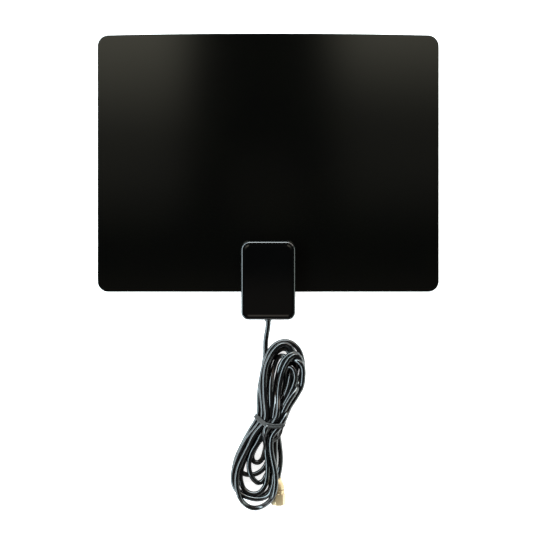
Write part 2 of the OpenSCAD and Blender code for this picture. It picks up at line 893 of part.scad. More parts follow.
// A shallow groove sets the nut's rear ring apart from its hexagon
module nut_grooves() {
    translate([0, 0, nut_start + nut_ring_l])
        difference() {
            cylinder(d = nut_tip_d + cut_over, h = groove_l);
            translate([0, 0, -cut_over])
                cylinder(d = nut_af - groove_l, h = groove_l + 2 * cut_over);
        }
}

module connector_insulator() {
    color("#efeeea")
        connector_place()
            translate([0, 0, lead_depth])
                difference() {
                    cylinder(d = insulator_d, h = face_station - lead_depth);
                    translate([0, 0, -cut_over])
                        cylinder(d = conductor_d, h = connector_l);
                }
}

// Centre pin: the lead's conductor in the insulator, and the thicker contact in the nut
module centre_pin() {
    tip_l = pin_d * 0.8;
    contact_l = pin_end - face_station - tip_l;
    color("#c48a58")
        connector_place() {
            translate([0, 0, lead_depth])
                cylinder(d = conductor_d, h = face_station - lead_depth);
            translate([0, 0, face_station])
                cylinder(d = pin_d, h = contact_l);
            translate([0, 0, face_station + contact_l])
                cylinder(d1 = pin_d, d2 = pin_d * 0.4, h = tip_l);
        }
}

front_film();
back_film();
element_left();
element_right();
front_case();
rear_cover();
cover_screws();
cable_grommet();
cable_clamp();
clamp_screws();
feed_rivets();
balun_board();
balun_core();
balun_winding();
coupling_capacitors();
solder_joints();
coax_braid();
coax_dielectric();
coax_conductor();
coax_lead();
lead_hank();
lead_tail();
wire_tie();
connector_body();
coupling_nut();
connector_insulator();
centre_pin();
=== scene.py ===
"""Flat indoor TV antenna: the finishes, the hanked lead and the studio round the CAD frame."""
import logging
import math
from abc import ABC, abstractmethod
from dataclasses import dataclass, field
from enum import Enum

import bpy
import numpy as np
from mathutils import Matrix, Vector


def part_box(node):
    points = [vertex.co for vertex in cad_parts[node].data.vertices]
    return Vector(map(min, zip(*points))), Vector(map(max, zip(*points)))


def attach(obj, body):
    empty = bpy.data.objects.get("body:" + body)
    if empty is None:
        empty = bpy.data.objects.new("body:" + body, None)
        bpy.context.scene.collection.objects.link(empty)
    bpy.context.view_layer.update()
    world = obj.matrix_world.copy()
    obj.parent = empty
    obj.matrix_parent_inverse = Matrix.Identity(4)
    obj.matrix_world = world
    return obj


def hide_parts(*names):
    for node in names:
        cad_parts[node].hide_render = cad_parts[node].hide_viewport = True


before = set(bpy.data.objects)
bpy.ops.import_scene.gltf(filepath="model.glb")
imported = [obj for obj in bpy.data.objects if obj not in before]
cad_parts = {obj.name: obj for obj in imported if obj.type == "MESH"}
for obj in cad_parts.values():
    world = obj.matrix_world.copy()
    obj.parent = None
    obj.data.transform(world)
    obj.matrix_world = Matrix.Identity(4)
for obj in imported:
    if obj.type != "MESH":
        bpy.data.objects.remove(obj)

LOG = logging.getLogger("antenna")
MM = 0.001
SMOOTHEST = 0.02
WAVES_PER_UNIT = 20
SPLINE_CUTS = 24


class Shading(Enum):
    """How a mesh is shaded: round all over, or with its sharp corners kept."""

    ROUND = 180.0
    CREASED = 32.0


def linear_colour(hex_colour: str) -> tuple[float, float, float, float]:
    """Turns an sRGB hex colour into a linear one.

    Args:
        hex_colour: Six hex digits after a hash sign.

    Returns:
        Linear red, green and blue, and an alpha of one.
    """
    channels = [int(hex_colour[i:i + 2], 16) / 255 for i in (1, 3, 5)]
    linear = [c / 12.92 if c <= 0.04045 else ((c + 0.055) / 1.055) ** 2.4 for c in channels]
    return linear[0], linear[1], linear[2], 1.0


def add_node(tree: bpy.types.NodeTree, kind: str, inputs: dict | None = None, **settings) -> bpy.types.Node:
    """Adds one shader node with its settings and links.

    Args:
        tree: The node tree that takes the node.
        kind: The node's type name.
        inputs: Values or output sockets for the node's inputs, by name or number.
        **settings: Attributes of the node itself.

    Returns:
        The new node.
    """
    node = tree.nodes.new(kind)
    for name, value in settings.items():
        setattr(node, name, value)
    for key, value in (inputs or {}).items():
        if isinstance(value, bpy.types.NodeSocket):
            tree.links.new(value, node.inputs[key])
        else:
            node.inputs[key].default_value = value
    return node


def ramp(tree: bpy.types.NodeTree, value: bpy.types.NodeSocket, low: float, high: float,
         shape: str = "SMOOTHSTEP", start: float = 0.0, end: float = 1.0) -> bpy.types.NodeSocket:
    """Adds a node that takes a value from one range to another and stops at its ends.

    Args:
        tree: The node tree that takes the node.
        value: The value.
        low: Where the ramp begins.
        high: Where the ramp ends.
        shape: The way from one to the other.
        start: The result at the beginning.
        end: The result at the end.

    Returns:
        The result.
    """
    return add_node(tree, "ShaderNodeMapRange", {
        "Value": value, "From Min": low, "From Max": high, "To Min": start, "To Max": end,
    }, interpolation_type=shape).outputs["Result"]


def scalar(tree: bpy.types.NodeTree, operation: str, *terms) -> bpy.types.NodeSocket:
    """Adds a node that reckons with numbers."""
    return add_node(tree, "ShaderNodeMath", dict(enumerate(terms)), operation=operation).outputs[0]


def vector(tree: bpy.types.NodeTree, operation: str, *terms) -> bpy.types.NodeSocket:
    """Adds a node that reckons with vectors."""
    node = add_node(tree, "ShaderNodeVectorMath", dict(enumerate(terms)), operation=operation)
    return node.outputs["Value" if operation == "DOT_PRODUCT" else "Vector"]


@dataclass(frozen=True)
class Grain:
    """A fine relief that the surface was given when it was made.

    A pitch below what the render shows is drawn as coarse as it needs to be to show.
    """

    pitch_mm: float
    depth_mm: float
    stretch: tuple[float, float, float] = (1.0, 1.0, 1.0)


@dataclass(frozen=True)
class Finish:
    """What a surface is made of, how it was made and how it meets the light."""

    name: str
    slot: str
    colour: str
    roughness: float
    shade: str = ""
    metallic: float = 0.0
    ior: float = 1.5
    coat: float = 0.0
    patch_mm: float = 20.0
    rough_spread: float = 0.04
    grains: tuple[Grain, ...] = ()

    def material(self) -> bpy.types.Material:
        """Builds the finish as a node material, or returns the one already built.

        Returns:
            The material.
        """
        found = bpy.data.materials.get(self.name)
        if found:
            return found
        material = bpy.data.materials.new(self.name)
        material.use_nodes = True
        tree = material.node_tree
        tree.nodes.clear()
        place = add_node(tree, "ShaderNodeTexCoord").outputs["Object"]
        patches = add_node(tree, "ShaderNodeTexNoise", {
            "Vector": place, "Scale": 1 / (self.patch_mm * MM), "Detail": 3.0, "Roughness": 0.55,
        }).outputs["Fac"]
        tone = add_node(tree, "ShaderNodeMix", {
            "Factor": patches,
            "A": linear_colour(self.colour),
            "B": linear_colour(self.shade or self.colour),
        }, data_type="RGBA")
        rough = add_node(tree, "ShaderNodeMapRange", {
            "Value": patches,
            "To Min": max(self.roughness - self.rough_spread, SMOOTHEST),
            "To Max": min(self.roughness + self.rough_spread, 1.0),
        })
        shader = add_node(tree, "ShaderNodeBsdfPrincipled", {
            "Base Color": tone.outputs["Result"],
            "Roughness": rough.outputs["Result"],
            "Metallic": self.metallic,
            "IOR": self.ior,
            "Coat Weight": self.coat,
        })
        self.relief(tree, place, shader)
        add_node(tree, "ShaderNodeOutputMaterial", {"Surface": shader.outputs["BSDF"]})
        return material

    def relief(self, tree: bpy.types.NodeTree, place: bpy.types.NodeSocket, shader: bpy.types.Node) -> None:
        """Adds each grain as a bump, one on top of the other.

        Args:
            tree: The material's node tree.
            place: The place on the piece, in metres.
            shader: The shader whose normal takes the relief.
        """
        normal = None
        for grain in self.grains:
            height = self.pattern(tree, place, grain)
            inputs = {"Height": height, "Distance": grain.depth_mm * MM, "Strength": 1.0}
            if normal:
                inputs["Normal"] = normal
            normal = add_node(tree, "ShaderNodeBump", inputs).outputs["Normal"]
        if normal:
            tree.links.new(normal, shader.inputs["Normal"])

    def pattern(self, tree: bpy.types.NodeTree, place: bpy.types.NodeSocket,
                grain: Grain) -> bpy.types.NodeSocket:
        """Draws one grain as noise, stretched where the surface was drawn or rolled.

        Args:
            tree: The material's node tree.
            place: The place on the piece, in metres.
            grain: The grain's pitch, depth and stretch.

        Returns:
            The height of the relief, from zero to one.
        """
        spread = add_node(tree, "ShaderNodeMapping", {
            "Vector": place, "Scale": tuple(1 / (s * grain.pitch_mm * MM) for s in grain.stretch),
        })
        return add_node(tree, "ShaderNodeTexNoise", {
            "Vector": spread.outputs["Vector"], "Scale": 1.0, "Detail": 2.0,
        }).outputs["Fac"]


@dataclass(frozen=True)
class TurnedMetal(Finish):
    """A turned metal, whose tool left fine rings about the piece's axis."""

    def pattern(self, tree: bpy.types.NodeTree, place: bpy.types.NodeSocket,
                grain: Grain) -> bpy.types.NodeSocket:
        """Draws the rings that the turning tool left along the axis, which lies along Y."""
        return add_node(tree, "ShaderNodeTexWave", {
            "Vector": place, "Scale": math.tau / WAVES_PER_UNIT / (grain.pitch_mm * MM),
            "Distortion": 0.6, "Detail": 1.0, "Detail Scale": 0.2,
        }, wave_type="BANDS", bands_direction="Y").outputs["Fac"]


@dataclass(frozen=True)
class Laminate(Finish):
    """Glass epoxy under green solder mask, with the glass cloth's weave under it."""

    def pattern(self, tree: bpy.types.NodeTree, place: bpy.types.NodeSocket,
                grain: Grain) -> bpy.types.NodeSocket:
        """Draws the glass cloth's weave, which stands up faintly through the mask."""
        return add_node(tree, "ShaderNodeTexChecker", {
            "Vector": place, "Scale": 1 / (grain.pitch_mm * MM),
        }).outputs["Fac"]


# Calendered vinyl film: deep black, with soft-edged reflections that waver a little
PANEL_FILM = Finish("calendered_satin_vinyl_film", "panel_film", "#020202", 0.1, shade="#030302",
                    ior=1.5, patch_mm=60.0, rough_spread=0.01,
                    grains=(Grain(14.0, 0.0012, (12.0, 1.0, 1.0)), Grain(1.2, 0.0006)))
# Rolled aluminium foil: bright, with fine lines along the way it was rolled
FOIL = Finish("rolled_aluminium_foil", "foil", "#d6d8da", 0.25, metallic=1.0, patch_mm=12.0,
              grains=(Grain(0.4, 0.004, (1.0, 12.0, 1.0)),))
# High-gloss moulded ABS: a black mirror with the faint orange peel of a polished mould
CASE_ABS = Finish("moulded_high_gloss_abs", "case_plastic", "#020202", 0.06, shade="#030303",
                  ior=1.54, patch_mm=25.0, rough_spread=0.02, grains=(Grain(2.4, 0.0016),))
# Spark-eroded moulded ABS: an even matt grain that keeps off fingerprints
COVER_ABS = Finish("spark_eroded_moulded_abs", "cover_plastic", "#101011", 0.55, shade="#151516",
                   ior=1.54, grains=(Grain(0.5, 0.02),))
# Zinc-plated steel: grey and slightly cloudy, with fine turning marks
SCREW_ZINC = Finish("zinc_plated_steel", "screw_steel", "#a9a9ac", 0.3, shade="#8f9094",
                    metallic=1.0, patch_mm=2.0, rough_spread=0.08, grains=(Grain(0.3, 0.004),))
# Soft moulded PVC: black with a dull, slightly greasy shine
GROMMET_PVC = Finish("soft_moulded_pvc", "grommet_plastic", "#0c0c0d", 0.38, shade="#121213",
                     ior=1.53, patch_mm=6.0, grains=(Grain(0.5, 0.006),))
# Drawn brass: warm yellow, brighter where the flange was rolled
RIVET_BRASS = Finish("drawn_brass", "rivet_brass", "#c9a45a", 0.22, shade="#b48d44",
                     metallic=1.0, patch_mm=1.5, grains=(Grain(0.3, 0.003),))
# Glass epoxy board under green solder mask
BOARD = Laminate("glass_epoxy_solder_mask", "board_laminate", "#1c5c33", 0.3, shade="#23703f",
                 ior=1.55, patch_mm=3.2, grains=(Grain(0.8, 0.003),))
# Sintered ferrite: charcoal grey, matt and slightly pitted
FERRITE = Finish("sintered_ferrite", "ferrite", "#3b3c40", 0.6, shade="#2e2f33", ior=2.0,
                 patch_mm=1.5, grains=(Grain(0.35, 0.02),))
# Enamelled copper wire: reddish gold under a clear coat
COPPER = Finish("enamelled_copper_wire", "copper", "#c77b45", 0.2, shade="#b3662f", metallic=1.0,
                coat=0.6, patch_mm=2.0, grains=(Grain(0.4, 0.002),))
# Fired ceramic: light brown with a matt skin
CERAMIC = Finish("fired_ceramic", "capacitor_body", "#a58c63", 0.45, shade="#937a52", ior=1.7,
                 patch_mm=0.8, grains=(Grain(0.2, 0.004),))
# Tin solder: silver grey, wetted smooth
SOLDER = Finish("wetted_tin_solder", "solder", "#c4c6c8", 0.25, shade="#a7a9ab", metallic=1.0,
                patch_mm=0.9, grains=(Grain(0.4, 0.01),))
# Moulded polyethylene: milky white with a waxy shine
POLYETHYLENE = Finish("moulded_polyethylene", "white_insulation", "#eeece4", 0.42, shade="#e2dfd4",
                      ior=1.51, patch_mm=3.0, grains=(Grain(0.6, 0.004),))
# Extruded glossy PVC: black, with tight streaks of light along each run
JACKET_PVC = Finish("extruded_glossy_pvc", "lead_jacket", "#060607", 0.11, shade="#080808",
                    ior=1.53, patch_mm=14.0, rough_spread=0.02, grains=(Grain(2.2, 0.003),))
# Extruded PVC tape over a wire: softer shine than the lead's jacket
TIE_PVC = Finish("extruded_pvc_tape", "tie_plastic", "#0b0908", 0.5, shade="#16120f", ior=1.38,
                 patch_mm=5.0, grains=(Grain(0.6, 0.004),))
# Satin nickel over turned brass: pale champagne with a milky shine, and tool rings round it
NICKEL = TurnedMetal("satin_nickel_on_turned_brass", "nickel_plate", "#c4b091", 0.34, shade="#ae946c",
                     metallic=0.5, patch_mm=5.0, rough_spread=0.06, grains=(Grain(0.35, 0.003),))

NODE_FINISHES = {
    "front_film": PANEL_FILM, "back_film": PANEL_FILM,
    "element_left": FOIL, "element_right": FOIL,
    "front_case": CASE_ABS, "rear_cover": COVER_ABS,
    "cover_screws": SCREW_ZINC, "clamp_screws": SCREW_ZINC,
    "cable_grommet": GROMMET_PVC, "cable_clamp": GROMMET_PVC,
    "feed_rivets": RIVET_BRASS, "balun_board": BOARD, "balun_core": FERRITE,
    "balun_winding": COPPER, "coupling_capacitors": CERAMIC, "solder_joints": SOLDER,
    "coax_braid": SOLDER, "coax_dielectric": POLYETHYLENE, "coax_conductor": COPPER,
    "coax_lead": JACKET_PVC, "lead_hank": JACKET_PVC, "lead_tail": JACKET_PVC,
    "wire_tie": TIE_PVC, "connector_body": NICKEL, "coupling_nut": NICKEL,
    "connector_insulator": POLYETHYLENE, "centre_pin": COPPER,
}


def mesh_piece(name: str, points: np.ndarray, faces: list, finish: Finish, body: str = "root",
               shading: Shading = Shading.CREASED) -> bpy.types.Object:
    """Makes a mesh object, dresses it and lets it ride on a body.

    Args:
        name: The piece's name.
        points: The corners, one row each, in metres.
        faces: The corner numbers of each face.
        finish: The piece's finish.
        body: The CAD body that the piece moves with.
        shading: Round all over, or with sharp corners kept.

    Returns:
        The new object.
    """
    mesh = bpy.data.meshes.new(name)
    mesh.from_pydata([tuple(p) for p in points], [], faces)
    mesh.validate()
    mesh.shade_smooth()
    if shading is Shading.CREASED:
        mesh.set_sharp_from_angle(angle=math.radians(shading.value))
    mesh.materials.append(finish.material())
    piece = bpy.data.objects.new(name, mesh)
    bpy.context.scene.collection.objects.link(piece)
    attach(piece, body)
    return piece


def grid_faces(rows: int, columns: int, closed: bool) -> list:
    """Lists the faces of a grid of points.

    Args:
        rows: How many rows of points there are.
        columns: How many points a row has.
        closed: Whether each row joins up with its own start.

    Returns:
        Four corner numbers for each face.
    """
    last = columns if closed else columns - 1
    return [
        (i * columns + j, i * columns + (j + 1) % columns,
         (i + 1) * columns + (j + 1) % columns, (i + 1) * columns + j)
        for i in range(rows - 1) for j in range(last)
    ]


def capped(rings: list[np.ndarray]) -> tuple[np.ndarray, list]:
    """Joins rings of points, each above the one before, into a shell with a flat top and foot.

    Args:
        rings: The rings, all with as many points.

    Returns:
        The shell's corners and faces.
    """
    count = len(rings[0])
    top = (len(rings) - 1) * count
    faces = grid_faces(len(rings), count, True)
    faces.append(tuple(top + j for j in range(count)))
    faces.append(tuple(reversed(range(count))))
    return np.vstack(rings), faces


def looped(rings: list[np.ndarray]) -> tuple[np.ndarray, list]:
    """Joins rings of points into a tube whose end meets its start.

    Args:
        rings: The rings, all with as many points.

    Returns:
        The tube's corners and faces.
    """
    count = len(rings[0])
    last = (len(rings) - 1) * count
    faces = grid_faces(len(rings), count, True)
    faces += [(last + j, last + (j + 1) % count, (j + 1) % count, j) for j in range(count)]
    return np.vstack(rings), [tuple(reversed(face)) for face in faces]


def level_rings(levels: list[tuple[float, np.ndarray]]) -> list[np.ndarray]:
    """Lifts each outline to its height."""
    return [np.column_stack([ring, np.full(len(ring), z)]) for z, ring in levels]


def quarter_arc(x: float, y: float, radius: float, start: float, steps: int) -> list:
    """Lists the points of a quarter circle round x and y, from an angle in degrees on."""
    angles = [math.radians(start + 90 * k / steps) for k in range(steps + 1)]
    return [(x + radius * math.cos(angle), y + radius * math.sin(angle)) for angle in angles]


def spline(points: np.ndarray, step: float) -> np.ndarray:
    """Runs a smooth curve through points and cuts it into even steps.

    Args:
        points: The points, one row each.
        step: The length of a step.

    Returns:
        Points an even distance apart along the curve.
    """
    before = np.vstack([2 * points[0] - points[1], points, 2 * points[-1] - points[-2]])
    share = np.linspace(0, 1, SPLINE_CUTS, endpoint=False)[:, None]
    parts = []
    for a, b, c, d in zip(before, before[1:], before[2:], before[3:]):
        parts.append(0.5 * (2 * b + (c - a) * share + (2 * a - 5 * b + 4 * c - d) * share ** 2
                            + (3 * b - 3 * c + d - a) * share ** 3))
    return even_steps(np.vstack([*parts, points[-1:]]), step)


def even_steps(points: np.ndarray, step: float) -> np.ndarray:
    """Cuts a line of points into even steps.

    Args:
        points: The line's points, one row each.
        step: The length of a step.

    Returns:
        Points an even distance apart, both ends kept.
    """
    along = np.concatenate([[0], np.cumsum(np.linalg.norm(np.diff(points, axis=0), axis=1))])
    count = max(int(round(along[-1] / step)), 2) + 1
    places = np.linspace(0, along[-1], count)
    return np.column_stack([np.interp(places, along, points[:, k]) for k in range(points.shape[1])])


def line_length(points: np.ndarray) -> float:
    """Gives the length of a line of points."""
    return float(np.linalg.norm(np.diff(points, axis=0), axis=1).sum())


def sweep(path: np.ndarray, section: np.ndarray, up: Vector | None = None) -> tuple[np.ndarray, list]:
    """Sweeps a closed section along a path without twist, and closes both ends.

    Args:
        path: The path's points, one row each.
        section: The section's points, as sideways and upward distances.
        up: The upward direction to keep to, or None to carry the frame along.

    Returns:
        The corners and the faces of the swept solid.
    """
    tangents = np.gradient(path, axis=0)
    tangents /= np.linalg.norm(tangents, axis=1)[:, None]
    side = np.cross(tangents[0], (0.0, 0.0, 1.0))
    rings = []
    for place, tangent in zip(path, tangents):
        if up is not None:
            side = np.cross(tangent, up)
        side = side - tangent * np.dot(side, tangent)
        side /= np.linalg.norm(side)
        top = np.cross(side, tangent)
        rings.append(place + section[:, :1] * side + section[:, 1:] * top)
    count = len(section)
    faces = grid_faces(len(path), count, True)
    faces.append(tuple(range(count)))
    faces.append(tuple((len(path) - 1) * count + j for j in reversed(range(count))))
    return np.vstack(rings), faces


@dataclass
class Studio:
    """The camera over the antenna, the pale floor and the soft light round it."""

    camera_x: float = -1.5 * MM
    camera_y: float = -80.0 * MM
    camera_z: float = 883.0 * MM
    panel_z: float = 3.0 * MM
    view_width: float = 476.5 * MM
    sensor: float = 36.0
    floor_size: float = 12.0

    def build(self) -> None:
        """Makes the camera, the floor and the light."""
        self.make_camera()
        self.make_floor()
        self.make_sky()
        LOG.info("studio: camera %.0f mm over the panel", (self.camera_z - self.panel_z) / MM)

    def make_camera(self) -> None:
        """Makes the camera, straight over the antenna as in the photograph."""
        lens = bpy.data.cameras.new("camera")
        lens.sensor_width = self.sensor
        lens.lens = self.sensor * (self.camera_z - self.panel_z) / self.view_width
        lens.clip_start = 0.01
        lens.clip_end = 50.0
        camera = bpy.data.objects.new("camera", lens)
        camera.location = (self.camera_x, self.camera_y, self.camera_z)
        bpy.context.scene.collection.objects.link(camera)
        bpy.context.scene.camera = camera
        bpy.context.scene.view_settings.view_transform = "Standard"

    def true_place(self, seen: np.ndarray) -> np.ndarray:
        """Moves points from where the camera sees them in the panel's plane to their own height.

        Args:
            seen: Rows of x and y as seen, and z, in metres.

        Returns:
            Rows of true x, y and z.
        """
        centre = np.array([self.camera_x, self.camera_y])
        share = 1 - (seen[:, 2:] - self.panel_z) / (self.camera_z - self.panel_z)
        return np.hstack([centre + (seen[:, :2] - centre) * share, seen[:, 2:]])

    def make_floor(self) -> None:
        """Makes the plain white floor, which glows a little, as a lit studio table does."""
        half = self.floor_size / 2
        mesh = bpy.data.meshes.new("floor")
        mesh.from_pydata([(-half, -half, 0), (half, -half, 0), (half, half, 0), (-half, half, 0)],
                         [], [(0, 1, 2, 3)])
        material = bpy.data.materials.new("white_studio_table")
        material.use_nodes = True
        shader = material.node_tree.nodes["Principled BSDF"]
        shader.inputs["Base Color"].default_value = linear_colour("#f4f4f4")
        shader.inputs["Roughness"].default_value = 0.9
        shader.inputs["Emission Color"].default_value = linear_colour("#ffffff")
        shader.inputs["Emission Strength"].default_value = 0.85
        mesh.materials.append(material)
        floor = bpy.data.objects.new("floor", mesh)
        bpy.context.scene.collection.objects.link(floor)

    def make_sky(self) -> None:
        """Makes the light that comes from all round: softboxes, a dark ceiling and pale walls."""
        world = bpy.data.worlds.new("studio_light")
        bpy.context.scene.world = world
        world.use_nodes = True
        tree = world.node_tree
        tree.nodes.clear()
        way = add_node(tree, "ShaderNodeTexCoord").outputs["Generated"]
        height = add_node(tree, "ShaderNodeSeparateXYZ", {"Vector": way}).outputs["Z"]
        walls = ramp(tree, height, 0.06, 0.34, start=0.7, end=0.11)
        ceiling = ramp(tree, height, 0.82, 0.965, start=1.0, end=0.06)
        room = scalar(tree, "MULTIPLY", walls, ceiling)
        total = vector(tree, "MULTIPLY", room, linear_colour("#f3f4f6")[:3])
        for light in (*LIGHTS, *PANEL_CARDS):
            total = vector(tree, "ADD", total, light.glow(tree, way))
        background = add_node(tree, "ShaderNodeBackground", {"Color": total, "Strength": 1.0})
        add_node(tree, "ShaderNodeOutputWorld", {"Surface": background.outputs["Background"]})


class Light(ABC):
    """A light in the studio, far off. Each kind says in which directions it is seen."""

    colour: str
    radiance: float

    def glow(self, tree: bpy.types.NodeTree, way: bpy.types.NodeSocket) -> bpy.types.NodeSocket:
        """Gives the light in any direction.

        Args:
            tree: The world's node tree.
            way: The direction that is looked in.

        Returns:
            The light's colour times its strength.
        """
        tint = tuple(c * self.radiance for c in linear_colour(self.colour)[:3])
        return vector(tree, "MULTIPLY", self.mask(tree, way), tint)

    @abstractmethod
    def mask(self, tree: bpy.types.NodeTree, way: bpy.types.NodeSocket) -> bpy.types.NodeSocket:
        """Gives the share of the light that is seen in any direction, from zero to one."""


def cone(tree: bpy.types.NodeTree, way: bpy.types.NodeSocket, axis: tuple[float, float, float],
         full: float, fade: float) -> bpy.types.NodeSocket:
    """Adds a mask that is one near a direction and fades out round it.

    Args:
        tree: The world's node tree.
        way: The direction that is looked in.
        axis: The cone's direction.
        full: How far off the axis the mask is one, in degrees.
        fade: How much further it takes to fade out, in degrees.

    Returns:
        The mask.
    """
    facing = vector(tree, "DOT_PRODUCT", way, axis)
    return ramp(tree, facing, math.cos(math.radians(full + fade)), math.cos(math.radians(full)))


@dataclass(frozen=True)
class Softbox(Light):
    """A round soft light."""

    way: tuple[float, float, float]
    half_angle: float
    edge_angle: float
    colour: str
    radiance: float

    def mask(self, tree: bpy.types.NodeTree, way: bpy.types.NodeSocket) -> bpy.types.NodeSocket:
        """Gives the softbox's round face."""
        return cone(tree, way, tuple(Vector(self.way).normalized()), self.half_angle, self.edge_angle)


@dataclass(frozen=True)
class LightArc(Light):
    """A long soft light that bends round the antenna at one height, as a ring of studio lamps does."""

    middle: float
    half_turn: float
    height: float
    half_height: float
    colour: str
    radiance: float
    end_fade: float = 14.0
    edge: float = 0.05

    def mask(self, tree: bpy.types.NodeTree, way: bpy.types.NodeSocket) -> bpy.types.NodeSocket:
        """Gives the arc's length and, across it, its height."""
        flat = vector(tree, "NORMALIZE", vector(tree, "MULTIPLY", way, (1.0, 1.0, 0.0)))
        turn = math.radians(self.middle)
        along = cone(tree, flat, (math.cos(turn), math.sin(turn), 0.0), self.half_turn, self.end_fade)
        height = add_node(tree, "ShaderNodeSeparateXYZ", {"Vector": way}).outputs["Z"]
        away = scalar(tree, "ABSOLUTE", scalar(tree, "SUBTRACT", height, self.height))
        across = ramp(tree, away, self.half_height + self.edge, self.half_height)
        return scalar(tree, "MULTIPLY", along, across)


@dataclass(frozen=True)
class PanelCard(Light):
    """A wide card over the panel, that brightens across it and along it.

    Its edges are given as the tangent of the angle off the vertical: aside from where it is dark
    to where it is full to one side, and along from where it is dark to where it is full up the panel.
    """

    aside: tuple[float, float]
    along: tuple[float, float]
    power: float
    colour: str
    radiance: float

    def mask(self, tree: bpy.types.NodeTree, way: bpy.types.NodeSocket) -> bpy.types.NodeSocket:
        """Gives the card's brightness overhead, times that across it and along it."""
        parts = add_node(tree, "ShaderNodeSeparateXYZ", {"Vector": way}).outputs
        light = ramp(tree, parts["Z"], 0.93, 0.955)
        for axis, (dark, full), shape, power in (
            ("X", self.aside, "SMOOTHSTEP", 1.0), ("Y", self.along, "LINEAR", self.power),
        ):
            share = ramp(tree, scalar(tree, "DIVIDE", parts[axis], parts["Z"]), dark, full, shape)
            light = scalar(tree, "MULTIPLY", light, scalar(tree, "POWER", share, power))
        return light


# Azimuth is counted from +X towards +Y: the long blue-white arc stands left, the warmer one at the top
LIGHTS = (
    LightArc(152.0, 72.0, 0.45, 0.1, "#d2e9f2", 21.0),
    LightArc(70.0, 30.0, 0.46, 0.1, "#f0ebe2", 10.0),
    LightArc(120.0, 60.0, 0.68, 0.04, "#ffd9b4", 1.4),
    LightArc(-16.0, 30.0, 0.2, 0.08, "#dff0e8", 8.0),
    LightArc(238.0, 10.0, 0.45, 0.1, "#e4eef6", 2.0),
    Softbox((0.0, -0.88, 0.48), 9.0, 6.0, "#f3efe8", 1.6),
    Softbox((0.0, -0.27, 0.963), 3.2, 3.6, "#fff3e0", 0.75),
    Softbox((0.0, 0.078, 1.0), 0.8, 2.6, "#fff4e2", 0.05),
)
PANEL_CARDS = (
    PanelCard((-0.06, -0.106), (0.03, 0.1), 1.0, "#fffbe8", 0.2),
    PanelCard((-0.06, -0.106), (0.13, 0.235), 1.25, "#fffbe2", 1.15),
    PanelCard((0.043, 0.1), (0.03, 0.1), 1.0, "#fffbe8", 0.15),
    PanelCard((0.043, 0.1), (0.14, 0.235), 1.8, "#fffbe2", 1.0),
    PanelCard((-9.0, -8.0), (0.0, -0.03), 1.0, "#ffeed8", 0.07),
)


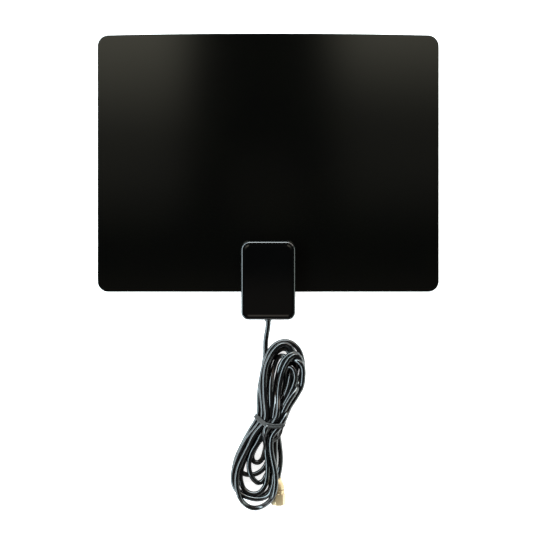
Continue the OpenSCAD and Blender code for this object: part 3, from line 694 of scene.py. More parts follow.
@dataclass
class Lead:
    """The coaxial lead: out of the housing, round the hank's turns, and down to the connector."""

    studio: Studio
    diameter: float = 4.5 * MM
    level: float = 4.6 * MM
    bed: float = 2.3 * MM
    step: float = 2.5 * MM
    fine_step: float = 1.2 * MM
    sides: int = 20
    rounds: int = 600
    connector_x: float = 8.9 * MM
    connector_z: float = 6.4 * MM
    connector_rear: float = -268.0 * MM
    nut_rear: float = -277.5 * MM
    nut_front: float = -293.5 * MM
    body_clear: float = 5.8 * MM
    nut_clear: float = 6.8 * MM
    lead_depth: float = 6.0 * MM
    push: float = 0.3
    aside: float = 0.3
    sink: float = 0.012 * MM
    pull_back: float = 0.12
    longest_move: float = 0.6 * MM
    stiffness: tuple[float, float, float] = (0.25, 0.25, 0.5)
    own_reach: float = 2.2
    rounds_between: int = 10
    path: np.ndarray = field(init=False)

    def build(self) -> bpy.types.Object:
        """Lays the lead and makes it one tube.

        Returns:
            The lead.
        """
        self.path = self.lay()
        angles = np.linspace(0, math.tau, self.sides, endpoint=False)
        section = self.diameter / 2 * np.column_stack([np.cos(angles), np.sin(angles)])
        points, faces = sweep(self.path, section)
        lead = mesh_piece("hanked_lead", points, faces, JACKET_PVC, shading=Shading.ROUND)
        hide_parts("coax_lead", "lead_hank", "lead_tail")
        LOG.info("lead: %.0f mm, from z %.1f to %.1f mm", line_length(self.path) / MM,
                 self.path[:, 2].min() / MM, self.path[:, 2].max() / MM)
        return lead

    def lay(self) -> np.ndarray:
        """Lays the hank's turns on and beside each other.

        Returns:
            The lead's whole centreline.
        """
        start = np.array(HOUSING_ROUTE) * MM
        hank = np.array(HANK_ROUTE) * (MM, MM, 1.0)
        hank[:, 2] = self.bed + self.level * hank[:, 2]
        tail = np.array(TAIL_ROUTE) * MM
        end = tail[-1] + np.array([0, -self.lead_depth, 0])
        drawn = np.vstack([start, self.studio.true_place(hank), tail])
        line = spline(drawn, self.step)
        fixed = self.fixed_points(line, start, tail)
        settled = self.settle(line, fixed)
        path = spline(np.vstack([settled[:-3:2], settled[-1:], end[None]]), self.fine_step)
        path[:, 2] = np.maximum(path[:, 2], self.diameter / 2)
        return path

    def fixed_points(self, line: np.ndarray, start: np.ndarray, tail: np.ndarray) -> np.ndarray:
        """Marks the points that the housing and the connector hold."""
        along = np.concatenate([[0], np.cumsum(np.linalg.norm(np.diff(line, axis=0), axis=1))])
        return (along < line_length(start)) | (along > along[-1] - line_length(tail[4:]))

    def settle(self, line: np.ndarray, fixed: np.ndarray) -> np.ndarray:
        """Pushes the runs apart, lets them sink onto each other and keeps them smooth.

        Args:
            line: The centreline as drawn.
            fixed: Which points stay where they are.

        Returns:
            The settled centreline.
        """
        points = line.copy()
        numbers = np.arange(len(points))
        radius = self.diameter / 2
        skip = int(math.ceil(self.own_reach * self.diameter / self.step))
        for turn in range(self.rounds):
            if turn % self.rounds_between == 0:
                gaps = points[:, None, :2] - points[None, :, :2]
                close = (np.abs(gaps[..., 0]) < 3 * radius) & (np.abs(gaps[..., 1]) < 3 * radius)
                first, second = np.nonzero(close & (numbers[None, :] - numbers[:, None] > skip))
            move = np.zeros_like(points)
            gap = points[first] - points[second]
            distance = np.linalg.norm(gap, axis=1) + 1e-9
            overlap = np.clip(self.diameter - distance, 0, None)
            hit = overlap > 0
            push = gap[hit] / distance[hit, None] * (overlap[hit, None] * self.push)
            push[:, :2] *= self.aside
            np.add.at(move, first[hit], push)
            np.add.at(move, second[hit], -push)
            move[:, 2] -= self.sink * (1 - turn / self.rounds)
            move[:, :2] += self.pull_back * (line[:, :2] - points[:, :2])
            move = np.clip(move, -self.longest_move, self.longest_move)
            points += np.where(fixed[:, None], 0, move)
            bend = np.zeros_like(points)
            bend[1:-1] = (points[2:] + points[:-2]) / 2 - points[1:-1]
            stiff = np.zeros_like(points)
            stiff[1:-1] = bend[1:-1] - (bend[2:] + bend[:-2]) / 2
            points += np.where(fixed[:, None], 0, stiff * self.stiffness)
            self.keep_clear(points, fixed, radius)
        return points

    def keep_clear(self, points: np.ndarray, fixed: np.ndarray, radius: float) -> None:
        """Keeps the runs above the table and off the connector, in place."""
        points[:, 2] = np.where(fixed, points[:, 2], np.maximum(points[:, 2], radius))
        beside = (points[:, 1] < self.connector_rear) & (points[:, 1] > self.nut_front) & ~fixed
        reach = np.where(points[:, 1] < self.nut_rear, self.nut_clear, self.body_clear) + radius
        across = points[:, 0] - self.connector_x
        above = points[:, 2] - self.connector_z
        distance = np.hypot(across, above) + 1e-9
        grow = np.where(beside & (distance < reach), reach / distance, 1.0)
        points[:, 0] = self.connector_x + across * grow
        points[:, 2] = self.connector_z + above * grow


# The lead's way out of the housing: x, y and z
HOUSING_ROUTE = (
    (0, -102, 6), (0, -107, 6), (0, -112.4, 6), (0, -119, 6), (0, -125.6, 6), (0, -128.6, 6), (0, -131, 6),
    (-0.4, -135, 5.6), (-1.1, -139, 4.8), (-1.8, -143, 3.8), (-2.3, -147, 2.9), (-2.4, -151, 2.4),
    (-2.4, -155, 2.3), (-2.7, -160, 2.3), (-3.4, -165, 2.3),
)

# The hank's turns: x and y as seen from the camera, and the layer that each point lies in
HANK_ROUTE = (
    (-4.4, -171, 0), (-5.8, -178, 0), (-7, -185, 0), (-7.8, -192, 0), (-8.2, -200, 0), (-8, -207, 0),
    (-8.6, -213, 0), (-10.8, -218.5, 0), (-14, -224, 0), (-17.6, -230, 0), (-21.6, -237, 0),
    (-25.6, -245, 0), (-28.4, -252.5, 0), (-30.4, -260, 0), (-31.2, -267, 0), (-30.6, -274, 0),
    (-27.6, -279.2, 0), (-23.2, -282.8, 0), (-17.5, -284.8, 0), (-10.5, -285.3, 0), (-5, -284.6, 0),
    (-1, -282.2, 0), (2, -279, 0), (3.6, -273, 0), (4.2, -266.5, 0), (4.6, -259.5, 0), (5, -252, 0),
    (5.2, -245, 0.1), (5.4, -238, 0.1), (5.8, -231, 0), (7.2, -224, 0), (9.4, -218, 0), (11.4, -213, 0),
    (13.4, -208, 0), (15.8, -202.5, 0), (18.2, -196.5, 0), (21, -190, 0), (23.2, -183, 0), (24.2, -176, 0),
    (25.6, -169.5, 0.3), (27.4, -164, 0.7), (27, -160, 1), (25.2, -157.8, 1.1), (22.7, -157.5, 1.1),
    (19.5, -158.5, 1.1), (16.3, -161.1, 1.1), (12.5, -165, 1), (10.3, -170, 1), (8.9, -176.4, 1),
    (7.3, -182.8, 1), (6.6, -190, 1), (6.2, -198, 1.1), (6.1, -205, 1.1), (5.6, -211, 1), (3.8, -217, 0.9),
    (0.8, -222, 0.9), (-2.6, -226.4, 1), (-5.8, -230.8, 1), (-8.8, -236, 1), (-12.2, -241.5, 1),
    (-15, -247, 1), (-16.8, -253, 1), (-17.2, -258.5, 1), (-16.6, -263, 1), (-14.8, -267.3, 0.8),
    (-12, -271, 0.3), (-8.7, -273.4, 0), (-5.6, -272.6, 0), (-3.3, -269.5, 0), (-1.4, -265.5, 0),
    (0.9, -261.5, 0), (2.6, -256.5, 0), (3.6, -251, 0), (4, -244.5, 0), (4, -237.5, 0), (4, -231, 0),
    (5.8, -225, 0.6), (8.8, -219, 0.9), (11.8, -213.5, 0.9), (14.4, -208, 0.8), (17.2, -202.5, 0.6),
    (19.6, -196.5, 0.3), (21.4, -190, 0), (22.5, -183, 0), (22.9, -176, 0), (23.8, -169, 0.1),
    (24.6, -163.5, 0), (23.6, -159, 0), (21.8, -155.3, 0.3), (19.4, -151.8, 0.9), (15.6, -149.5, 1.3),
    (11.4, -150.2, 1.4), (8.1, -152.3, 1.4), (5.1, -155.3, 1.3), (3, -158.7, 1.3), (0.9, -162.7, 1.2),
    (-1.3, -168, 1.2), (-2.6, -175, 1.2), (-3.2, -182, 1.3), (-3.1, -190, 1.3), (-2.7, -198, 1.3),
    (-2, -206, 1.3), (-1.3, -212.5, 1.2), (-2.6, -218, 1.1), (-5.9, -222.3, 1.1), (-9.9, -227, 1.1),
    (-13.6, -232.5, 1), (-16.6, -239, 1), (-19.8, -245.2, 1), (-23, -251.5, 1), (-25.8, -258.5, 1.5),
    (-27.6, -265.5, 2), (-28.2, -272.5, 2.1), (-27.3, -280, 2.1), (-25.2, -287, 1.9), (-21.8, -291.6, 1.3),
    (-17.7, -295, 0.8), (-12.8, -296.5, 0.5), (-8, -295.9, 0.7), (-3.3, -293.5, 1.2), (0.9, -290, 1.8),
    (4.2, -285.4, 2.4), (5.9, -280, 2.7), (6.8, -274.5, 2.7), (6.8, -268.5, 2.4), (6.2, -262, 2.1),
    (5, -255.5, 2), (3.6, -248.5, 1.6), (2.7, -242, 1.3), (2.8, -235, 1.2), (4, -229, 1.3),
    (9, -223.5, 1.7), (13, -217.4, 1.6), (16, -210.5, 1.6), (19.4, -204.4, 1.6), (23.9, -197.9, 1.5),
    (27.6, -191.5, 1.5), (29.9, -186, 1.6), (31, -180.5, 1.7), (31.3, -175.5, 1.9), (31.1, -171, 2.1),
    (29.8, -167.4, 2.3), (27.6, -165.1, 2.2), (25, -163.6, 1.5), (22.4, -162.6, 0.8), (19.8, -161.8, 0.3),
    (17, -161.5, 0), (14.2, -160.1, 0), (11.5, -159.4, 0.2), (9.1, -161.2, 0.5), (7.3, -164.5, 0.9),
    (5.8, -169, 1.2), (4, -174.9, 1.6), (2.8, -182, 1.9), (2.5, -189.5, 2), (2.4, -197, 2),
    (2.8, -204, 1.8), (2.6, -211, 1.3), (1.2, -216.5, 0.5), (-3.2, -221.5, 0), (-8.2, -227, 0),
    (-12, -233, 0), (-15, -239, 0), (-18, -245, 0), (-20.4, -250.5, 0), (-22.3, -256, 0.3),
    (-24.2, -262, 0.9), (-24.8, -268, 1), (-23.8, -273.8, 0.5), (-21.4, -279, 0.1), (-17, -281.8, 0),
    (-13, -282.8, 0), (-9, -282, 0), (-4.8, -278.9, 0.3), (-1.9, -273.4, 0.8), (-0.7, -266, 1),
    (-0.4, -258, 1), (-1.2, -250, 1), (-2, -242, 1), (-2.6, -235, 1), (-3.2, -229.5, 1.3),
    (-2.2, -224.5, 1.3), (0.4, -219.5, 0.9), (4, -215, 0.3), (7.6, -210.5, 0), (10.4, -205, 0),
    (12.2, -198, 0.1), (13.9, -191, 0.4), (15.2, -184, 0.5), (15.9, -177.5, 0.6), (16.5, -172, 0.7),
    (17.8, -168.8, 0.8), (20.2, -168.3, 1), (22.4, -170.8, 1), (24, -174.5, 1.1), (24.4, -179, 1.2),
    (23.6, -185, 1.4), (21.2, -191, 1.4), (17.8, -197, 1.3), (14.8, -202.5, 1.2), (11.8, -207.5, 1),
    (9, -212, 0.8), (6.4, -217, 0.3), (4, -222.5, 0), (2.4, -229, 0), (1.6, -236, 0), (1.2, -243, 0),
    (0.6, -249.5, 0), (-1, -255, 0), (-3.2, -259.3, 0), (-6, -262.4, 0), (-9.2, -264.6, 0),
    (-13, -265.9, 0), (-17.5, -266, 0), (-22, -265.2, 0), (-25.4, -262, 0), (-26.2, -257, 0),
    (-24.4, -251.5, 0), (-21.6, -245.5, 0), (-18.6, -239.5, 0), (-15.6, -233.5, 0), (-12.8, -228, 0),
    (-8.8, -222.5, 0), (-4.9, -217.5, 0), (-1.8, -212.5, 0.8), (-0.6, -206, 1.4), (-0.5, -198, 1.5),
    (-0.6, -190, 1.5), (-0.5, -182, 1.3), (-0.2, -176, 0.9), (0.7, -170, 0.6), (2.2, -164.6, 1),
    (4.4, -160.8, 1), (6.8, -158, 1), (9, -156, 1), (11.5, -154.5, 0.8), (14.4, -153.3, 0.4),
    (17, -154.3, 0.2), (19, -157.5, 0), (20.2, -163, 0), (20.4, -169, 0.1), (20, -176, 0.4),
    (19, -183, 0.7), (17.2, -190, 0.9), (14.6, -196.5, 1), (11.6, -202.5, 1), (8.6, -207.5, 0.9),
    (5.4, -212.5, 0.4), (2.6, -217.5, 0), (0.6, -223, 0), (-0.6, -229, 0), (-1.2, -235, 0), (-2.2, -241, 0),
    (-3.5, -246.5, 0), (-4.8, -251, 0), (-7, -254.3, 0), (-10.5, -255.6, 0), (-13.8, -253.3, 0),
    (-14.4, -249, 0), (-12.4, -244, 0), (-9.3, -238.5, 0), (-5.6, -233, 0), (-2, -227.5, 0),
    (1.4, -222, 0.8), (5.8, -217, 1.5), (8.6, -212, 1.9), (8.9, -205.5, 2.1), (9.2, -199, 2.3),
    (9.6, -192.5, 2.5), (10.4, -186.3, 2.5), (11.6, -180, 2.4), (13.1, -173.5, 2.2), (15.5, -167.6, 1.9),
    (18.2, -163.5, 2), (20.8, -160.9, 2.1), (23, -159.4, 2.2), (24.9, -158.9, 2.2), (26.5, -159.7, 2.1),
    (27.8, -161.3, 2), (28.9, -163.7, 1.6), (29.8, -167.5, 1.2), (30, -172.5, 1), (28.8, -179, 1),
    (26.4, -185.5, 1), (23.2, -191.5, 1), (19.6, -197, 1), (16.4, -202.5, 1.2), (14, -208, 1.6),
    (11.8, -213.5, 1.8), (9.8, -219, 1.5), (8, -225, 1), (6.6, -231, 1), (6.2, -238.5, 1), (6.2, -246, 1),
    (6.1, -253.5, 1), (5.8, -261, 1), (5.2, -268, 1), (4.2, -275.2, 1), (1.8, -281.2, 1), (-2, -285, 1),
    (-7, -287.4, 1), (-14, -287.1, 1), (-20.5, -285.4, 1), (-26, -282.3, 1), (-30, -277, 1),
    (-31.6, -270, 1), (-31, -263, 1), (-29, -256, 1), (-26, -248, 1), (-22, -240, 1), (-17.6, -232.5, 1),
    (-12, -226, 1), (-8, -220, 1), (-5, -214.5, 0.9), (-4.7, -208.5, 0.8), (-5.2, -201, 0.8),
    (-6, -193, 0.8), (-6.3, -185, 0.9), (-5.6, -177.5, 0.9), (-4.1, -170, 0.9), (-1.8, -163.5, 1),
    (0, -158, 0.7), (2.5, -153.8, 0.2), (6, -150, 0), (10, -147.8, 0), (14, -146.9, 0), (18.4, -147.2, 0),
    (22.4, -149.2, 0), (25.8, -152.2, 0), (28.4, -156.4, 0), (30, -161.5, 0), (30.9, -167.5, 0),
    (31, -174, 0), (30.3, -180.5, 0), (28.6, -187, 0), (25.4, -193.3, 0), (21.6, -199, 0),
    (18.4, -204.5, 0), (15.8, -210, 0), (13.6, -215, 0), (11.2, -219.5, 0),
)

# The lead's way from the hank to the connector: x, y and z
TAIL_ROUTE = (
    (8.8, -225, 2.4), (8.8, -229, 2.4), (9.3, -233, 2.4), (9.9, -237.5, 2.5), (10.7, -244, 3),
    (11.1, -250, 4), (10.9, -256, 5.1), (10.4, -260, 5.8), (9.7, -263.5, 6.2), (9.1, -266, 6.4),
    (8.9, -268, 6.4),
)


@dataclass
class Tie:
    """The flat tie, wrapped round the hank's waist, with its free end laid over the runs."""

    lead: Lead
    thickness: float = 0.7 * MM
    width: float = 3.8 * MM
    ribs: int = 2
    rib_height: float = 0.45 * MM
    tail_width: float = 2.5 * MM
    seen_height: float = 12 * MM
    band_step: float = 0.35 * MM
    end_step: float = 0.8 * MM
    ground_gap: float = 0.05 * MM
    wrap_gap: float = 0.15 * MM
    end_gap: float = 0.2 * MM

    def build(self) -> bpy.types.Object:
        """Makes the tie.

        Returns:
            The tie.
        """
        band_points, band_faces = self.band()
        tail_points, tail_faces = self.free_end()
        count = len(band_points)
        faces = band_faces + [tuple(k + count for k in face) for face in tail_faces]
        tie = mesh_piece("hank_tie", np.vstack([band_points, tail_points]), faces, TIE_PVC)
        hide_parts("wire_tie")
        LOG.info("tie: %.1f mm wide", self.width / MM)
        return tie

    def section(self, width: float) -> np.ndarray:
        """Gives the strip's cross-section, with fine ribs along its outer side."""
        half = width / 2
        across = np.linspace(-half, half, 8 * self.ribs + 1)
        ripple = self.rib_height * np.abs(np.sin(math.pi * self.ribs * (across + half) / width))
        outer = np.column_stack([across, ripple + self.thickness / 2])
        inner = np.column_stack([across[::-6], np.full(len(across[::-6]), -self.thickness / 2)])
        return np.vstack([outer, inner])

    def band(self) -> tuple[np.ndarray, list]:
        """Wraps the band closely round the runs at the waist.

        Returns:
            The corners and the faces of the band.
        """
        line = self.seen_line(TIE_LINE)[:, :2]
        around = even_steps(self.wrap(self.runs_at(line)), self.band_step)[:-1]
        for _ in range(3):
            around = (np.roll(around, 1, axis=0) + 2 * around + np.roll(around, -1, axis=0)) / 4
        forward = np.roll(around, -1, axis=0) - np.roll(around, 1, axis=0)
        forward /= np.linalg.norm(forward, axis=1)[:, None]
        outward = np.column_stack([forward[:, 1], -forward[:, 0]])
        section = self.section(self.width)
        slope = np.interp(around[:, 0], line[:, 0], np.gradient(line[:, 1], line[:, 0]))
        middle = np.interp(around[:, 0], line[:, 0], line[:, 1])
        shade = 1 / np.sqrt(1 + slope ** 2)
        rings = []
        for place, out, y, lean, tilt in zip(around, outward, middle, slope, shade):
            sideways = np.array([-lean * tilt, tilt])
            x = place[0] + out[0] * section[:, 1] + sideways[0] * section[:, 0]
            rings.append(np.column_stack([
                x, y + sideways[1] * section[:, 0], place[1] + out[1] * section[:, 1],
            ]))
        points, faces = looped(rings)
        points[:, 2] = np.maximum(points[:, 2], self.ground_gap)
        return points, faces

    def seen_line(self, seen: tuple) -> np.ndarray:
        """Places a line that the camera sees, at the height of the runs' top."""
        flat = np.array(seen) * MM
        return self.lead.studio.true_place(np.column_stack([flat, np.full(len(flat), self.seen_height)]))

    def runs_at(self, line: np.ndarray) -> np.ndarray:
        """Finds where the lead's runs cross the band.

        Args:
            line: The band's middle line, as x and y.

        Returns:
            Rows of x and z of the crossings.
        """
        path = self.lead.path
        over = path[:, 1] - np.interp(path[:, 0], line[:, 0], line[:, 1])
        inside = (path[:-1, 0] > line[0, 0]) & (path[:-1, 0] < line[-1, 0])
        crossing = (over[:-1] * over[1:] <= 0) & inside
        return path[:-1][crossing][:, (0, 2)]

    def wrap(self, runs: np.ndarray) -> np.ndarray:
        """Draws a line tightly round the runs, as a stretched band lies.

        Args:
            runs: Rows of x and z of the runs' centres.

        Returns:
            The line's points, closed.
        """
        reach = self.lead.diameter / 2 + self.thickness / 2 + self.wrap_gap
        angles = np.linspace(0, math.tau, 48, endpoint=False)
        rim = np.vstack([runs + reach * np.array([math.cos(a), math.sin(a)]) for a in angles])
        rim[:, 1] = np.maximum(rim[:, 1], self.thickness / 2)
        rim = rim[np.lexsort((rim[:, 1], rim[:, 0]))]
        halves = []
        for points in (rim, rim[::-1]):
            chain = []
            for point in points:
                while len(chain) > 1 and self.turns_in(chain[-2], chain[-1], point):
                    chain.pop()
                chain.append(point)
            halves.append(chain[:-1])
        return np.array(halves[0] + halves[1] + halves[0][:1])

    @staticmethod
    def turns_in(first: np.ndarray, middle: np.ndarray, last: np.ndarray) -> bool:
        """Tells whether a corner turns inwards."""
        a, b = middle - first, last - first
        return a[0] * b[1] - a[1] * b[0] <= 0

    def free_end(self) -> tuple[np.ndarray, list]:
        """Lays the tie's free end over the runs.

        Returns:
            The corners and the faces of the free end.
        """
        path = spline(self.seen_line(TIE_END), self.end_step)
        path[:, 2] = self.rest_height(path[:, :2]) + self.end_gap
        for _ in range(10):
            path[1:-1, 2] = np.maximum(path[1:-1, 2], (path[:-2, 2] + path[2:, 2]) / 2)
        section = self.section(self.tail_width) + np.array([0.0, self.thickness / 2])
        return sweep(path, section, up=Vector((0, 0, 1)))

    def rest_height(self, places: np.ndarray) -> np.ndarray:
        """Gives the height of the runs' top at each place.

        Args:
            places: Rows of x and y.

        Returns:
            The heights.
        """
        path, radius = self.lead.path, self.lead.diameter / 2
        gap = np.linalg.norm(places[:, None, :] - path[None, :, :2], axis=2)
        rise = path[None, :, 2] + np.sqrt(np.clip(radius ** 2 - gap ** 2, 0, None))
        return np.where(gap < radius, rise, 0).max(axis=1)


# The tie's middle line over the waist, as seen: x and y
TIE_LINE = (
    (-16, -210), (-12.6, -213.8), (-10.2, -215.6), (-5.9, -218.4), (-1, -220.6), (4.2, -221.4),
    (8.6, -221.4), (12.5, -220.6), (15.2, -218.6), (18, -215.5),
)
# The tie's free end, as seen: x and y
TIE_END = (
    (12.6, -219.5), (12.4, -222.5), (12.2, -226), (11.4, -229.3), (9.4, -232), (6.6, -233.8), (3.6, -235),
)


@dataclass
class Case:
    """The glossy upper housing: a smooth shell over the CAD form."""

    half_width: float = 24.25 * MM
    lower_y: float = -127.4 * MM
    upper_y: float = -56.2 * MM
    foot_z: float = 2.0 * MM
    top_z: float = 12.0 * MM
    upper_radius: float = 8.0 * MM
    lower_radius: float = 6.8 * MM
    edge_radius: float = 2.0 * MM
    bevel_width: float = 2.6 * MM
    bevel_rise: float = 0.4 * MM
    rim: float = 0.3 * MM
    side_draft: float = 0.2 * MM
    end_draft: float = 1.3 * MM
    corner_steps: int = 20
    foot_rise: float = 0.12 * MM
    crown: float = 1.35
    wall_steps: int = 5
    edge_steps: int = 14
    bevel_steps: int = 8

    def outline(self, inset: float, setback: float) -> np.ndarray:
        """Draws the housing's outline at one height.

        Args:
            inset: How far the sides stand in from the foot.
            setback: How much further the upper end stands in.

        Returns:
            Rows of x and y, anticlockwise.
        """
        width = self.half_width - inset
        low, high = self.lower_y + inset, self.upper_y - inset - setback
        points = []
        corners = (
            (width, low, self.lower_radius, -90), (width, high, self.upper_radius, 0),
            (-width, high, self.upper_radius, 90), (-width, low, self.lower_radius, 180),
        )
        for x, y, radius, start in corners:
            bend = max(radius - inset, self.rim)
            points += quarter_arc(x - math.copysign(bend, x), y + (bend if y == low else -bend),
                                  bend, start, self.corner_steps)
        return np.array(points)

    def levels(self) -> list[tuple[float, float, float]]:
        """Lists the shell's heights, each with its inset and setback."""
        centre_z = self.top_z - self.bevel_rise - self.edge_radius
        last = math.pi / 2 - math.atan(self.bevel_rise / self.bevel_width)
        levels = [(self.foot_z, 0.0, 0.0), (self.foot_z + self.foot_rise, 0.0, 0.0)]
        for k in range(1, self.wall_steps):
            share = k / self.wall_steps
            levels.append((self.foot_z + (centre_z - self.foot_z) * share,
                           self.side_draft * share, self.end_draft * share))
        for k in range(self.edge_steps + 1):
            angle = last * k / self.edge_steps
            levels.append((centre_z + self.edge_radius * math.sin(angle),
                           self.side_draft + self.edge_radius * (1 - math.cos(angle)), self.end_draft))
        start_z, start_inset = levels[-1][:2]
        end_inset = self.side_draft + self.edge_radius + self.bevel_width
        for k in range(1, self.bevel_steps + 1):
            share = k / self.bevel_steps
            levels.append((start_z + (self.top_z - start_z) * (1 - (1 - share) ** self.crown),
                           start_inset + (end_inset - start_inset) * share, self.end_draft))
        levels.append((self.top_z, end_inset + self.rim, self.end_draft))
        return levels

    def build(self) -> bpy.types.Object:
        """Makes the shell, closed at its top and its foot.

        Returns:
            The shell.
        """
        rings = level_rings([(z, self.outline(inset, setback)) for z, inset, setback in self.levels()])
        shell = mesh_piece("gloss_case", *capped(rings), CASE_ABS)
        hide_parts("front_case")
        LOG.info("case: %d rings of %d points", len(rings), len(rings[0]))
        return shell


@dataclass
class Panel:
    """The panel's two films, welded round their edges, with the slight crown of the upper edge."""

    half_width: float = 152.5 * MM
    lower_y: float = -102.6 * MM
    corner_y: float = 126.6 * MM
    crown: float = 1.8 * MM
    corner_radius: float = 9.5 * MM
    edge_round: float = 0.18 * MM
    rim: float = 0.3 * MM
    corner_steps: int = 16
    side_steps: int = 40

    def outline(self, inset: float) -> np.ndarray:
        """Draws the panel's outline, anticlockwise from its lower right corner.

        Args:
            inset: How far the outline stands in from the edge.

        Returns:
            Rows of x and y.
        """
        width, low, high = self.half_width - inset, self.lower_y + inset, self.corner_y - inset
        bend = self.corner_radius - inset
        points = []
        for x, y, start in ((width, low, -90), (width, high, 0), (-width, high, 90), (-width, low, 180)):
            points += quarter_arc(x - math.copysign(bend, x), low + bend if y == low else high - bend,
                                  bend, start, self.corner_steps)
            if start == 0:
                reach = width - bend
                points += [(reach - 2 * reach * k / self.side_steps, y) for k in range(1, self.side_steps)]
        ring = np.array(points)
        lift = self.crown * (1 - (ring[:, 0] / self.half_width) ** 2)
        ring[:, 1] += np.where(ring[:, 1] > 0, lift, 0)
        return ring

    def film(self, name: str, node: str) -> bpy.types.Object:
        """Makes one film as thick as its CAD node, with its cut edges rounded.

        Args:
            name: The new piece's name.
            node: The CAD node that it stands for.

        Returns:
            The film.
        """
        low, high = (corner[2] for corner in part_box(node))
        flat = self.edge_round + self.rim
        steps = [(low, flat), (low, self.edge_round), (low + self.edge_round, 0.0),
                 (high - self.edge_round, 0.0), (high - self.edge_round * 0.3, self.edge_round * 0.3),
                 (high, self.edge_round), (high, flat)]
        rings = level_rings([(z, self.outline(inset)) for z, inset in steps])
        film = mesh_piece(name, *capped(rings), PANEL_FILM)
        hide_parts(node)
        return film

    def build(self) -> None:
        """Makes both films."""
        self.film("front_sheet", "front_film")
        self.film("back_sheet", "back_film")
        LOG.info("panel: %.0f mm wide", 2 * self.half_width / MM)


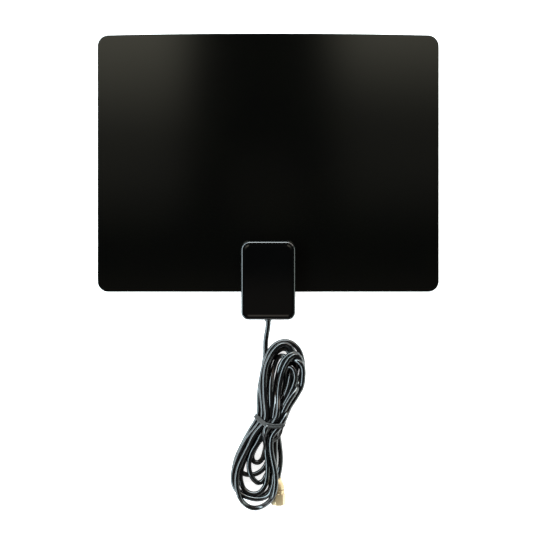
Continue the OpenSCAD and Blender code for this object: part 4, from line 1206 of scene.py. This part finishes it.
@dataclass
class Connector:
    """The crimped male F connector's free-running hexagon nut; its turned body stays the CAD node."""

    x: float = 8.9 * MM
    rear_y: float = -268.0 * MM
    z: float = 6.4 * MM
    nut_start: float = 10.6 * MM
    ring_length: float = 2.6 * MM
    groove_length: float = 0.6 * MM
    nut_end: float = 24.0 * MM
    flats: float = 11.0 * MM
    bore: float = 8.8 * MM
    thread_pitch: float = 0.794 * MM
    thread_depth: float = 0.35 * MM
    chamfer: float = 0.7 * MM
    mouth_chamfer: float = 0.4 * MM
    ring_rise: float = 0.35 * MM
    groove_depth: float = 0.45 * MM
    round_over: float = 0.35 * MM
    round_start: float = 0.12 * MM
    round_drop: float = 0.1 * MM
    tip_ease: float = 0.1 * MM
    seat_depth: float = 4.4 * MM
    seat_radius: float = 3.6 * MM
    turn_start: float = 10.0
    sides: int = 240

    def build(self) -> bpy.types.Object:
        """Makes the nut, threaded inside.

        Returns:
            The nut.
        """
        points, faces = self.nut()
        nut = mesh_piece("hexagon_nut", points, faces, NICKEL, body="nut")
        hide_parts("coupling_nut")
        LOG.info("connector: nut %.1f mm across flats", self.flats / MM)
        return nut

    def ring(self, station: float, radii: np.ndarray, angles: np.ndarray) -> np.ndarray:
        """Places one ring of the nut.

        Args:
            station: How far the ring lies from the connector's rear.
            radii: The ring's radius at each angle.
            angles: The angles, in radians.

        Returns:
            The ring's points.
        """
        return np.column_stack([
            self.x + radii * np.sin(angles),
            np.full(len(angles), self.rear_y - station),
            self.z + radii * np.cos(angles),
        ])

    def hexagon(self, angles: np.ndarray, limit: float) -> np.ndarray:
        """Gives the hexagon's radius at each angle, cut to a cone's radius."""
        from_flat = (angles - math.radians(self.turn_start) + math.pi / 6) % (math.pi / 3) - math.pi / 6
        return np.minimum(self.flats / 2 / np.cos(from_flat), limit)

    def nut(self) -> tuple[np.ndarray, list]:
        """Lists the nut's corners and faces, outside from rear to mouth and back down its bore."""
        angles = np.linspace(0, math.tau, self.sides, endpoint=False)
        tip = self.flats / 2 / math.cos(math.pi / 6)
        even = np.ones(self.sides)
        ring_end = self.nut_start + self.ring_length
        hex_start = ring_end + self.groove_length
        ring_r, groove_r = self.flats / 2 + self.ring_rise, self.flats / 2 - self.groove_depth
        low, mid = ring_r - self.round_over, ring_r - self.round_drop
        profile = (
            (self.nut_start, low), (self.nut_start + self.round_start, mid),
            (self.nut_start + self.round_over, ring_r), (ring_end - self.round_over, ring_r),
            (ring_end - self.round_start, mid), (ring_end, low), (ring_end, groove_r), (hex_start, groove_r),
        )
        rings = [self.ring(station, radius * even, angles) for station, radius in profile]
        for share in np.linspace(0, 1, 5):
            limit = self.flats / 2 - self.tip_ease + (tip - self.flats / 2 + self.tip_ease) * share
            rings.append(self.ring(hex_start + self.chamfer * share, self.hexagon(angles, limit), angles))
        for share in np.linspace(0.1, 1, 8):
            station = hex_start + self.chamfer + (self.nut_end - hex_start - 2 * self.chamfer) * share
            rings.append(self.ring(station, self.hexagon(angles, tip), angles))
        for share in np.linspace(0.25, 1, 4):
            limit = tip - (tip - self.flats / 2 + self.tip_ease) * share
            station = self.nut_end - self.chamfer * (1 - share)
            rings.append(self.ring(station, self.hexagon(angles, limit), angles))
        return looped(rings + self.bore_rings(angles, even))

    def bore_rings(self, angles: np.ndarray, even: np.ndarray) -> list[np.ndarray]:
        """Lists the rings of the threaded bore, from the mouth inwards."""
        minor = self.bore / 2
        rings = [self.ring(self.nut_end, (minor + self.mouth_chamfer) * even, angles)]
        start, end = self.nut_end - self.mouth_chamfer, self.nut_start + 4.6 * MM
        steps = int((start - end) / (self.thread_pitch / 8))
        for k in range(steps + 1):
            station = start + (end - start) * k / steps
            phase = (station / self.thread_pitch + angles / math.tau) % 1.0
            groove = np.clip(1 - np.abs(phase - 0.5) * 3.2, 0, 1)
            fade = min(1.0, k / 6, (steps - k) / 6)
            rings.append(self.ring(station, minor + self.thread_depth * groove * fade, angles))
        for station in (self.nut_start + self.seat_depth, self.nut_start):
            rings.append(self.ring(station, self.seat_radius * even, angles))
        return rings


@dataclass
class Antenna:
    """The whole antenna: the finishes on the CAD frame and the pieces that stand for its plain solids."""

    studio: Studio = field(default_factory=Studio)

    def build(self) -> None:
        """Builds the pieces in order, the lead first."""
        self.studio.build()
        lead = Lead(self.studio)
        hanked = lead.build()
        tie = Tie(lead).build()
        Panel().build()
        Case().build()
        nut = Connector().build()
        self.dress_frame()

    def dress_frame(self) -> None:
        """Gives each CAD node its finish."""
        for name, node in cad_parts.items():
            finish = NODE_FINISHES[name]
            node.data.materials.clear()
            node.data.materials.append(finish.material())
            LOG.info("%s: %s", name, finish.name)


def main() -> None:
    logging.basicConfig(level=logging.INFO, format="%(name)s %(message)s")
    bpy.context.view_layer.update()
    Antenna().build()


if __name__ == "__main__":
    main()
